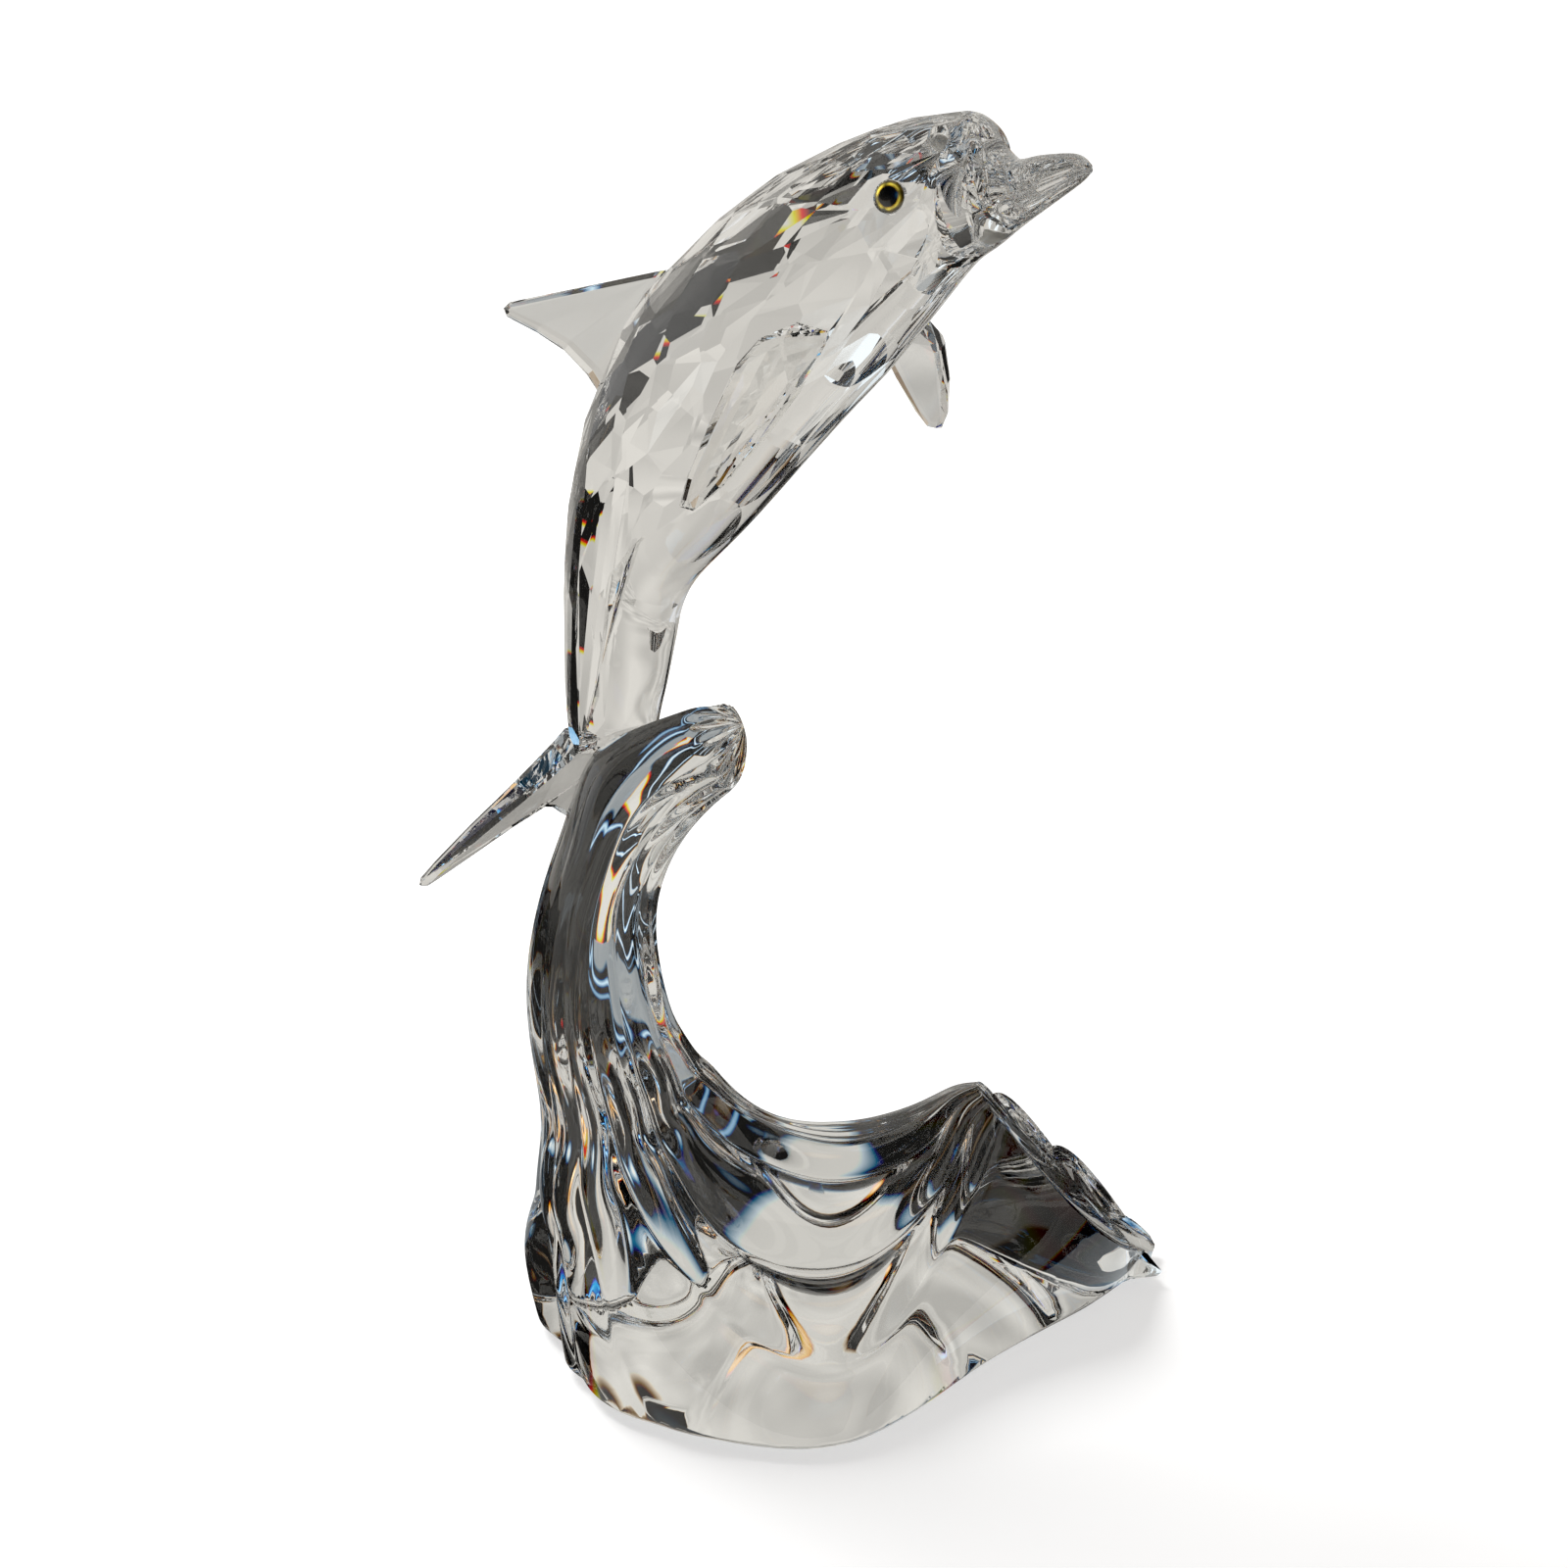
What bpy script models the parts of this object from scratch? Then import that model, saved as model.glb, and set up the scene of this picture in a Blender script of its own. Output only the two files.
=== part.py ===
"""Cut-crystal dolphin leaping from a moulded glass wave, 20 cm tall.

X is the way the dolphin faces, Y is to its left, Z is up, in metres.
The pieces are glued together, so each one sits a glue line away from its seat.
"""

import math
import random

import bmesh
import bpy
from mathutils import Matrix, Vector

MM = 0.001

# Joints between pieces
GLUE = 0.3 * MM

# Dolphin body: each station gives the back point, the belly point and the half width,
# in millimetres from the crest seat, from the beak tip down to the tail
BODY_STATIONS = (
    ((70.2, 87.6), (70.7, 86.2), 1.1),
    ((68.2, 88.5), (69.0, 84.6), 2.7),
    ((63.6, 88.0), (64.6, 81.4), 4.0),
    ((59.6, 87.2), (60.6, 78.5), 5.2),
    ((56.4, 89.0), (57.0, 75.6), 6.8),
    ((52.0, 91.6), (52.6, 72.2), 8.4),
    ((43.6, 90.8), (46.0, 64.5), 10.4),
    ((32.8, 86.8), (39.4, 56.8), 12.2),
    ((21.2, 80.6), (33.6, 50.8), 13.2),
    ((11.0, 72.8), (28.2, 45.1), 13.6),
    ((2.4, 64.4), (22.2, 38.5), 13.2),
    ((-4.2, 54.2), (15.4, 31.2), 12.2),
    ((-9.0, 43.2), (7.2, 23.0), 10.6),
    ((-12.2, 30.2), (4.2, 18.0), 8.8),
    ((-13.4, 18.6), (3.0, 12.8), 7.8),
    ((-14.0, 8.1), (1.6, 6.4), 7.0),
    ((-13.6, -1.9), (-0.2, -0.4), 6.4),
    ((-11.6, -11.9), (-1.4, -8.4), 6.0),
)
BODY_RINGS = 6
BODY_SIDES = 48
MOUTH_DEPTH = 0.16
MOUTH_ANGLE = 100.0
MOUTH_SPREAD = 11.5

# Facets ground over the back and flanks, and left off the face and the belly
CROWN_CUT_STATION = 4.5
CHEEK_CUT_STATION = 5.7
LAST_CUT_STATION = 16.2
FACET_PITCH = 6.4 * MM
TAIL_FACET_STRETCH = 1.7
FACET_TURN = 30.0
FACET_TURN_SCATTER = 3.0
FACET_STATION_SCATTER = 0.12
FLANK_ANGLE = 132.0
TAIL_FLANK_ANGLE = 108.0
FACET_ALLOWANCE = 1.3 * MM
FACET_REACH = 13.0 * MM
FACET_SEED = 7

# Seats: where the tail stands on the crest, and where each fin is glued on the body
CREST_SEAT_STATION = 0.48
CREST_SEAT_RIDGE = 6
CREST_SEAT_SINK = 1.9 * MM
CREST_SEAT_UP = Vector((-0.55, 0.30, 0.78)).normalized()
FIN_SEAT_SINK = 0.45 * MM
FIN_SEAT_REACH = 22.0 * MM
FLUKE_STATION = 16.1
FLUKE_SEAT_SINK = 2.2 * MM
FLUKE_RUN = Vector((-0.627, 0.0, -0.779)).normalized()

# Dorsal fin: distance out from its seat and distance up the back, in millimetres
DORSAL_STATION = 10.61
DORSAL_OUTLINE = (
    (-1.9, 12.9), (1.5, 9.8), (20.9, -10.4), (21.4, -11.9), (20.3, -12.6),
    (14.6, -11.0), (9.1, -10.0), (4.0, -10.4), (-0.3, -11.8), (-5.9, -10.9),
)
DORSAL_ROOT_THICK = 3.8 * MM
DORSAL_TIP_THICK = 1.5 * MM
DORSAL_BEVEL = 1.1 * MM

# Flippers: distance along the blade from its seat, half width, in millimetres
FLIPPER_STATION = 7.35
FLIPPER_ANGLE = 108.0
FLIPPER_RUN = Vector((-0.10, -0.64, -0.76)).normalized()
FLIPPER_OUTLINE = (
    (-4.0, 3.0), (1.5, 4.9), (9.0, 5.2), (17.0, 4.4), (25.0, 2.8), (29.0, 1.2),
)
FLIPPER_SWEEP = 2.0 * MM
FLIPPER_THICK = 3.8 * MM
FLIPPER_TIP_THICK = 1.5 * MM
FLIPPER_BEVEL = 1.2 * MM

# Fluke: distance down the tail, distance to the side, in millimetres
FLUKE_OUTLINE = (
    (-2.0, 4.6), (3.0, 5.4), (10.0, 9.2), (18.0, 14.4), (25.0, 18.0), (29.0, 19.2),
    (29.8, 18.2), (28.0, 15.6), (24.0, 10.2), (20.0, 5.0), (17.6, 0.0),
)
FLUKE_ROOT_THICK = 4.4 * MM
FLUKE_TIP_THICK = 1.6 * MM
FLUKE_BEVEL = 1.0 * MM

# Eyes
EYE_RADIUS = 2.1 * MM
EYE_DEPTH = 1.1 * MM
EYE_DOME = 0.5 * MM
EYE_CLEARANCE = 0.3 * MM
EYE_STATION = 5.72
EYE_ANGLE = 74.0

# Wave: ridges that fan down from the crest. A section stands at each angle about a
# level axis, and gives each ridge's distance from that axis and its place across
WAVE_TURN = math.radians(35.0)
WAVE_AXIS_RUN = 9.0 * MM
WAVE_AXIS_HEIGHT = 66.0 * MM
WAVE_STATIONS = (
    (120.0, ((34.4, 13.0), (35.2, 8.5), (37.5, 5.5), (41.2, 4.6), (45.0, 5.8), (47.8, 9.0),
             (48.8, 12.5), (48.0, 16.0), (45.6, 19.5), (41.5, 20.5), (36.8, 17.6))),
    (136.0, ((33.0, 13.0), (35.0, 7.0), (38.0, 3.5), (42.0, 2.5), (46.0, 4.0), (49.2, 8.0),
             (50.5, 12.5), (49.5, 17.0), (46.0, 21.0), (41.0, 22.5), (36.0, 19.0))),
    (155.0, ((31.0, 14.0), (33.5, 7.0), (36.5, 3.5), (39.5, 2.0), (43.0, 3.0), (45.5, 6.5),
             (47.0, 12.0), (46.0, 18.5), (42.5, 23.0), (37.5, 24.0), (33.0, 20.0))),
    (180.0, ((28.0, 14.0), (30.0, 8.0), (33.5, 4.5), (38.0, 2.5), (41.5, 3.0), (45.0, 6.0),
             (47.7, 12.0), (46.0, 19.0), (42.0, 24.0), (36.0, 25.0), (30.5, 21.0))),
    (205.0, ((27.3, 15.0), (29.5, 8.0), (33.5, 2.0), (39.0, -1.0), (43.5, 0.0), (48.0, 4.5),
             (51.0, 12.0), (50.0, 20.0), (44.5, 27.0), (37.0, 29.0), (31.0, 24.0))),
    (218.0, ((28.0, 17.0), (31.0, 9.0), (35.7, 1.0), (41.8, -3.0), (49.5, -2.5), (56.0, 3.5),
             (59.0, 12.0), (58.0, 23.0), (51.0, 30.5), (41.0, 31.0), (32.5, 25.5))),
    (228.0, ((28.5, 19.0), (32.0, 10.0), (37.5, 0.0), (44.2, -5.0), (55.0, -5.0), (63.0, 3.0),
             (66.5, 13.0), (74.0, 31.0), (57.0, 34.0), (45.0, 33.5), (34.0, 27.0))),
    (250.0, ((31.3, 22.5), (35.5, 15.0), (44.5, 1.0), (50.5, -9.0), (72.0, -12.5), (88.0, 0.0),
             (94.0, 12.0), (91.0, 32.0), (70.0, 40.0), (52.0, 37.0), (38.0, 30.0))),
    (270.0, ((32.3, 24.0), (37.5, 17.0), (47.0, 4.0), (55.5, -12.0), (72.0, -15.5), (90.0, -2.0),
             (95.0, 13.0), (90.0, 32.0), (68.0, 43.0), (52.0, 40.0), (38.0, 33.0))),
    (290.0, ((31.8, 24.5), (35.8, 20.0), (41.8, 14.0), (47.3, 9.0), (72.0, 11.0), (90.0, 18.0),
             (95.0, 24.0), (90.0, 36.0), (68.0, 44.0), (52.0, 41.0), (38.0, 34.0))),
    (303.0, ((31.8, 26.0), (33.4, 24.0), (36.4, 21.6), (42.0, 19.0), (79.0, 31.0), (95.0, 36.0),
             (98.0, 38.0), (92.0, 42.0), (74.0, 46.0), (54.0, 42.0), (38.0, 34.0))),
    (310.0, ((33.4, 27.5), (34.2, 26.2), (35.8, 24.8), (39.4, 23.2), (78.5, 37.5), (91.5, 39.5),
             (94.5, 40.5), (89.5, 42.5), (74.0, 43.5), (54.0, 38.0), (38.0, 31.5))),
)
FLUTE_DEPTHS = (0.17, 0.17, 0.17, 0.13, 0.10, 0.13, 0.17, 0.24, 0.24, 0.22, 0.18)
FLUTE_STEPS = 5
WAVE_RINGS = 4
NOSE_ANGLE = 9.0
NOSE_RINGS = 4

# Clear bumper feet: centres on the ground, along and across the wave, in millimetres
BUMPER_RADIUS = 2.6 * MM
BUMPER_FACE_RADIUS = 2.0 * MM
BUMPER_HEIGHT = 1.5 * MM
BUMPER_PLACES = ((7.0, -11.5), (-32.0, 12.5), (47.0, 32.5), (0.0, 36.0))
WAVE_FLOOR = BUMPER_HEIGHT + GLUE


def clear_scene():
    for old in list(bpy.data.objects):
        bpy.data.objects.remove(old, do_unlink=True)


def collection(name):
    made = bpy.data.collections.new(name)
    bpy.context.scene.collection.children.link(made)
    return made


def principled(name, colour, roughness, metallic=0.0, transmission=0.0, ior=1.5):
    material = bpy.data.materials.new(name)
    material.use_nodes = True
    shader = material.node_tree.nodes["Principled BSDF"]
    shader.inputs["Base Color"].default_value = (*colour, 1.0)
    shader.inputs["Roughness"].default_value = roughness
    shader.inputs["Metallic"].default_value = metallic
    shader.inputs["Transmission Weight"].default_value = transmission
    shader.inputs["IOR"].default_value = ior
    return material


def mesh_object(name, bm, where, material, parent):
    mesh = bpy.data.meshes.new(name)
    bm.to_mesh(mesh)
    bm.free()
    made = bpy.data.objects.new(name, mesh)
    where.objects.link(made)
    made.parent = parent
    if material:
        mesh.materials.append(material)
    return made


def spline(values, at):
    """Catmull-Rom value at a place counted in stations."""
    last = len(values) - 1
    at = min(max(at, 0.0), float(last))
    i = min(int(at), last - 1)
    u = at - i
    before, here, there, after = (values[min(max(i + k, 0), last)] for k in (-1, 0, 1, 2))
    return 0.5 * (2 * here + (there - before) * u
                  + (2 * before - 5 * here + 4 * there - after) * u * u
                  + (3 * here - before - 3 * there + after) * u ** 3)


def smooth_step(low, high, value):
    u = min(max((value - low) / (high - low), 0.0), 1.0)
    return u * u * (3 - 2 * u)


def loft(bm, rings):
    """Skins closed rings with quads and closes both ends."""
    rows = [[bm.verts.new(point) for point in ring] for ring in rings]
    count = len(rows[0])
    for above, below in zip(rows, rows[1:]):
        for k in range(count):
            n = (k + 1) % count
            bm.faces.new((above[k], above[n], below[n], below[k]))
    bm.faces.new(reversed(rows[0]))
    bm.faces.new(rows[-1])
    bmesh.ops.recalc_face_normals(bm, faces=bm.faces)


def trim(bm, point, outward):
    """Grinds a flat right across and closes it."""
    cut = bmesh.ops.bisect_plane(
        bm, geom=bm.verts[:] + bm.edges[:] + bm.faces[:], dist=1e-7,
        plane_co=point, plane_no=outward, clear_outer=True)
    rim = [e for e in cut["geom_cut"] if isinstance(e, bmesh.types.BMEdge)]
    bmesh.ops.edgeloop_fill(bm, edges=rim)


def island_of(first, faces):
    """The faces joined to the first one through their edges."""
    island = {first}
    queue = [first]
    while queue:
        for edge in queue.pop().edges:
            for face in edge.link_faces:
                if face in faces and face not in island:
                    island.add(face)
                    queue.append(face)
    return island


def grind(bm, point, outward, reach, every_island=False):
    """Grinds one facet and touches nothing further off than its reach."""
    near = [f for f in bm.faces if any((v.co - point).length < reach for v in f.verts)]
    verts = {v for f in near for v in f.verts}
    edges = {e for f in near for e in f.edges}
    if all((v.co - point).dot(outward) < 1e-7 for v in verts):
        return
    bmesh.ops.bisect_plane(bm, geom=list(verts) + list(edges) + near, dist=1e-7,
                           plane_co=point, plane_no=outward)

    def proud(face):
        middle = face.calc_center_median()
        flat = all((v.co - point).dot(outward) > -2e-7 for v in face.verts)
        return flat and (middle - point).dot(outward) > 1e-8 and (middle - point).length < reach

    waste = {f for f in bm.faces if proud(f)}
    while waste:
        highest = max(waste, key=lambda f: (f.calc_center_median() - point).dot(outward))
        island = island_of(highest, waste)
        waste = waste - island if every_island else set()
        rim = {e for f in island for e in f.edges if any(g not in island for g in e.link_faces)}
        bmesh.ops.delete(bm, geom=list(island), context="FACES_KEEP_BOUNDARY")
        bmesh.ops.edgeloop_fill(bm, edges=list(rim))


def first_cut(angle):
    """Station where the facets begin: further forward on the crown than on the cheek."""
    return CROWN_CUT_STATION + (CHEEK_CUT_STATION - CROWN_CUT_STATION) * smooth_step(35, 75, abs(angle))


def lowest_cut(at):
    """Angle where the facets give way to the smooth belly."""
    return FLANK_ANGLE + (TAIL_FLANK_ANGLE - FLANK_ANGLE) * smooth_step(10.5, 12.5, at)


def body_point(at, angle, allowance=0.0):
    """Point of the body: 0 degrees is the back, 90 the right flank, 180 the belly."""
    back = Vector((spline([s[0][0] for s in BODY_STATIONS], at), 0,
                   spline([s[0][1] for s in BODY_STATIONS], at))) * MM
    belly = Vector((spline([s[1][0] for s in BODY_STATIONS], at), 0,
                    spline([s[1][1] for s in BODY_STATIONS], at))) * MM
    half_width = spline([s[2] for s in BODY_STATIONS], at) * MM
    turn = math.radians(angle)
    middle = (back + belly) / 2
    up = (back - belly) / 2
    lips = math.exp(-((abs(angle) - MOUTH_ANGLE) / MOUTH_SPREAD) ** 2)
    mouth = 1 - MOUTH_DEPTH * lips * (1 - smooth_step(2.4, 3.6, at))
    cut_zone = smooth_step(first_cut(angle) - 0.8, first_cut(angle), at)
    flank = 1 - smooth_step(lowest_cut(at) - 16, lowest_cut(at) + 6, abs(angle))
    grow = allowance * cut_zone * flank
    height = up.length + grow
    side = half_width + grow
    return (middle + up.normalized() * height * math.cos(turn)
            - Vector((0, 1, 0)) * side * math.sin(turn) * mouth)


def body_normal(at, angle):
    along = body_point(at + 0.05, angle) - body_point(at - 0.05, angle)
    around = body_point(at, angle + 1) - body_point(at, angle - 1)
    return along.cross(around).normalized()


def facet_places():
    """Staggered rows of facets, a pitch apart down the back and flanks."""
    dice = random.Random(FACET_SEED)
    at = CROWN_CUT_STATION
    row = 0
    places = []
    while at < LAST_CUT_STATION:
        angle = FACET_TURN / 2 * (row % 2)
        while angle < lowest_cut(at):
            turn = angle + dice.uniform(-1, 1) * FACET_TURN_SCATTER * (angle > 0)
            spot = at + dice.uniform(-1, 1) * FACET_STATION_SCATTER
            if spot > first_cut(turn):
                places.append((spot, turn))
                if turn:
                    places.append((spot, -turn))
            angle += FACET_TURN
        step = (body_point(at + 0.1, 60) - body_point(at, 60)).length / 0.1
        at += FACET_PITCH * (1 + (TAIL_FACET_STRETCH - 1) * smooth_step(10.0, 15.0, at)) / step
        row += 1
    return places


def fin_seat(at, angle):
    """Flat ground for a fin: a point on it and the way out."""
    outward = body_normal(at, angle)
    return body_point(at, angle) - outward * FIN_SEAT_SINK, outward


def fluke_seat():
    return body_point(FLUKE_STATION, 0) - body_normal(FLUKE_STATION, 0) * FLUKE_SEAT_SINK


def mirrored(vector):
    return Vector((vector.x, -vector.y, vector.z))


def make_body(where, cutters, material, parent):
    bm = bmesh.new()
    steps = (len(BODY_STATIONS) - 1) * BODY_RINGS
    rings = [[body_point(i / BODY_RINGS, 360 * k / BODY_SIDES - (360 if 2 * k > BODY_SIDES else 0),
                         FACET_ALLOWANCE)
              for k in range(BODY_SIDES)] for i in range(steps + 1)]
    loft(bm, rings)
    trim(bm, fluke_seat(), FLUKE_RUN)
    trim(bm, Vector(), -CREST_SEAT_UP)
    for at, angle in facet_places():
        grind(bm, body_point(at, angle), body_normal(at, angle), FACET_REACH)
    grind(bm, *fin_seat(DORSAL_STATION, 0), FIN_SEAT_REACH)
    seat, outward = fin_seat(FLIPPER_STATION, FLIPPER_ANGLE)
    grind(bm, seat, outward, FIN_SEAT_REACH, every_island=True)
    grind(bm, mirrored(seat), mirrored(outward), FIN_SEAT_REACH, every_island=True)
    bmesh.ops.dissolve_limit(bm, angle_limit=math.radians(0.05), verts=bm.verts, edges=bm.edges)
    bmesh.ops.remove_doubles(bm, verts=bm.verts, dist=0.02 * MM)
    body = mesh_object("dolphin_body", bm, where, material, parent)
    for side in (1, -1):
        cutter = eye_shape("eye_socket_cutter", EYE_CLEARANCE, side, cutters, None, parent)
        cutter.hide_render = True
        cutter.display_type = "WIRE"
        socket = body.modifiers.new("eye_socket", "BOOLEAN")
        socket.object = cutter
        socket.operation = "DIFFERENCE"
    return body


def turned(name, profile, where, material, parent):
    """Turns a profile, given top to bottom as radius and height, about Z."""
    bm = bmesh.new()
    verts = [bm.verts.new((radius, 0, height)) for radius, height in profile]
    for a, b in zip(verts, verts[1:]):
        bm.edges.new((a, b))
    made = mesh_object(name, bm, where, material, parent)
    screw = made.modifiers.new("turning", "SCREW")
    screw.axis = "Z"
    screw.steps = 32
    screw.render_steps = 32
    screw.use_merge_vertices = True
    screw.merge_threshold = 0.01 * MM
    return made


def eye_shape(name, clearance, side, where, material, parent):
    """A turned cabochon, domed at the front and flat at the back."""
    radius = EYE_RADIUS + clearance
    depth = EYE_DEPTH + clearance
    dome = [(radius * math.sin(math.radians(15 * k)), EYE_DOME * math.cos(math.radians(15 * k)))
            for k in range(7)]
    eye = turned(name, dome + [(radius, -depth), (0.0, -depth)], where, material, parent)
    point = body_point(EYE_STATION, EYE_ANGLE)
    outward = body_normal(EYE_STATION, EYE_ANGLE)
    if side < 0:
        point, outward = mirrored(point), mirrored(outward)
    eye.location = point
    eye.rotation_mode = "QUATERNION"
    eye.rotation_quaternion = outward.to_track_quat("Z", "Y")
    return eye


def blade(name, outline, thickness, bevel, frame, where, material, parent, seat):
    """A flat piece: outline in two directions, thickness from a function, edges bevelled."""
    origin, run, chord = frame
    across = run.cross(chord).normalized()
    bm = bmesh.new()
    top = [bm.verts.new(origin + run * u + chord * v + across * thickness(u, v) / 2)
           for u, v in outline]
    low = [bm.verts.new(origin + run * u + chord * v - across * thickness(u, v) / 2)
           for u, v in outline]
    count = len(outline)
    bm.faces.new(top)
    bm.faces.new(reversed(low))
    for k in range(count):
        n = (k + 1) % count
        bm.faces.new((top[n], top[k], low[k], low[n]))
    bmesh.ops.recalc_face_normals(bm, faces=bm.faces)
    rims = [e for e in bm.edges if not (e.verts[0] in top and e.verts[1] in low)
            and not (e.verts[0] in low and e.verts[1] in top)]
    bmesh.ops.bevel(bm, geom=rims, offset=bevel, segments=1, affect="EDGES", profile=0.5,
                    material=-1, clamp_overlap=True)
    point, inward = seat
    trim(bm, point, inward)
    return mesh_object(name, bm, where, material, parent)


def tapered(root_thick, tip_thick, length):
    """Thickness that falls evenly from the root to the tip."""
    def thickness(u, v):
        share = min(max(math.hypot(max(u, 0), v) / length, 0.0), 1.0)
        return root_thick + (tip_thick - root_thick) * share

    return thickness


def make_dorsal_fin(where, material, parent):
    point, outward = fin_seat(DORSAL_STATION, 0)
    outline = [(u * MM, v * MM) for u, v in DORSAL_OUTLINE]
    length = max(math.hypot(u, v) for u, v in outline)
    thickness = tapered(DORSAL_ROOT_THICK, DORSAL_TIP_THICK, length)
    frame = (point, outward, Vector((outward.z, 0, -outward.x)))
    seat = (point + outward * GLUE, -outward)
    return blade("dorsal_fin", outline, thickness, DORSAL_BEVEL, frame, where, material, parent, seat)


def make_flipper(name, side, where, material, parent):
    length = FLIPPER_OUTLINE[-1][0] * MM
    thickness = tapered(FLIPPER_THICK, FLIPPER_TIP_THICK, length)

    def edge(sign):
        return [(u * MM, sign * half * MM - FLIPPER_SWEEP * (u * MM / length) ** 2)
                for u, half in FLIPPER_OUTLINE]

    point, outward = fin_seat(FLIPPER_STATION, FLIPPER_ANGLE)
    forward = Vector((1, 0, 0))
    frame = [point, FLIPPER_RUN, (forward - FLIPPER_RUN * FLIPPER_RUN.dot(forward)).normalized()]
    seat = [point + outward * GLUE, -outward]
    if side < 0:
        frame = [mirrored(v) for v in frame]
        seat = [mirrored(v) for v in seat]
    outline = edge(1) + list(reversed(edge(-1)))
    return blade(name, outline, thickness, FLIPPER_BEVEL, frame, where, material, parent, seat)


def make_fluke(where, material, parent):
    half = [(u * MM, v * MM) for u, v in FLUKE_OUTLINE]
    outline = half + [(u, -v) for u, v in reversed(half[:-1])]
    length = max(math.hypot(u, v) for u, v in half)
    thickness = tapered(FLUKE_ROOT_THICK, FLUKE_TIP_THICK, length)
    point = fluke_seat()
    frame = (point, FLUKE_RUN, Vector((0, 1, 0)))
    seat = (point + FLUKE_RUN * GLUE, -FLUKE_RUN)
    return blade("tail_fluke", outline, thickness, FLUKE_BEVEL, frame, where, material, parent, seat)


def wave_point(angle, distance, across):
    """A place on the wave, from its angle and distance about the level axis."""
    turn = math.radians(angle)
    run = WAVE_AXIS_RUN + distance * math.cos(turn)
    height = WAVE_AXIS_HEIGHT + distance * math.sin(turn)
    place = Matrix.Rotation(WAVE_TURN, 4, "Z") @ Vector((run, across, 0))
    return Vector((place.x, place.y, height))


def wave_ridges(at):
    """Angle of one section and its ridges, each a distance and a place across."""
    angle = spline([s[0] for s in WAVE_STATIONS], at)
    ridges = []
    for k in range(len(WAVE_STATIONS[0][1])):
        ridges.append(Vector((spline([s[1][k][0] for s in WAVE_STATIONS], at),
                              spline([s[1][k][1] for s in WAVE_STATIONS], at))) * MM)
    return angle, ridges


def wave_section(at):
    """Angle and the fluted outline of one section: ridges with hollows between them."""
    angle, ridges = wave_ridges(at)
    points = []
    for a, b, depth in zip(ridges, ridges[1:] + ridges[:1], FLUTE_DEPTHS):
        inward = Vector((b.y - a.y, a.x - b.x)) * depth
        for step in range(FLUTE_STEPS):
            u = step / FLUTE_STEPS
            points.append(a.lerp(b, u) + inward * 4 * u * (1 - u))
    return angle, points


def crest_seat():
    """Where the dolphin stands: just inside one ridge of the wave."""
    angle, ridges = wave_ridges(CREST_SEAT_STATION)
    ridge = ridges[CREST_SEAT_RIDGE]
    return wave_point(angle, ridge.x - CREST_SEAT_SINK, ridge.y)


def make_wave(where, material, parent):
    bm = bmesh.new()
    rings = []
    angle, points = wave_section(0)
    middle = sum(points, Vector((0, 0))) / len(points)
    for k in range(NOSE_RINGS, 0, -1):
        turn = math.radians(90.0 * k / (NOSE_RINGS + 0.25))
        shrunk = [middle + (p - middle) * math.cos(turn) for p in points]
        rings.append([wave_point(angle - NOSE_ANGLE * math.sin(turn), p.x, p.y) for p in shrunk])
    steps = (len(WAVE_STATIONS) - 1) * WAVE_RINGS
    for i in range(steps + 1):
        angle, points = wave_section(i / WAVE_RINGS)
        rings.append([wave_point(angle, p.x, p.y) for p in points])
    loft(bm, rings)
    trim(bm, Vector((0, 0, WAVE_FLOOR)), Vector((0, 0, -1)))
    trim(bm, crest_seat() - CREST_SEAT_UP * GLUE, CREST_SEAT_UP)
    return mesh_object("wave_base", bm, where, material, parent)


def make_bumpers(where, material, parent):
    profile = [(0.0, BUMPER_HEIGHT), (BUMPER_FACE_RADIUS, BUMPER_HEIGHT)]
    profile += [(BUMPER_RADIUS, BUMPER_HEIGHT * 0.7), (BUMPER_RADIUS, BUMPER_HEIGHT * 0.3)]
    profile += [(BUMPER_FACE_RADIUS, 0.0), (0.0, 0.0)]
    turn = Matrix.Rotation(WAVE_TURN, 4, "Z")
    for number, (run, across) in enumerate(BUMPER_PLACES, 1):
        bumper = turned(f"bumper_foot_{number}", profile, where, material, parent)
        bumper.location = turn @ Vector((run * MM, across * MM, 0))


def centre_footprint(where, footprint):
    """Puts the middle of the whole figurine's footprint at the origin."""
    bpy.context.view_layer.update()
    seen = bpy.context.evaluated_depsgraph_get()
    corners = []
    for piece in where.objects:
        if piece.type == "MESH":
            found = piece.evaluated_get(seen)
            corners += [found.matrix_world @ v.co for v in found.data.vertices]
    for axis in (0, 1):
        low = min(c[axis] for c in corners)
        high = max(c[axis] for c in corners)
        footprint.location[axis] = -(low + high) / 2


clear_scene()
parts = collection("dolphin_figurine")
cutters = collection("cutters")
footprint = bpy.data.objects.new("footprint_centre", None)
parts.objects.link(footprint)
dolphin = bpy.data.objects.new("dolphin_stand", None)
parts.objects.link(dolphin)
dolphin.parent = footprint
dolphin.location = crest_seat()

crystal = principled("cut_crystal", (0.95, 0.95, 0.94), 0.0, transmission=1.0, ior=1.55)
moulded = principled("moulded_crystal", (0.95, 0.95, 0.94), 0.0, transmission=1.0, ior=1.55)
eye_glass = principled("enamelled_eye", (0.55, 0.42, 0.08), 0.08)
silicone = principled("clear_silicone", (0.9, 0.9, 0.9), 0.15, transmission=1.0, ior=1.41)

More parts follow.
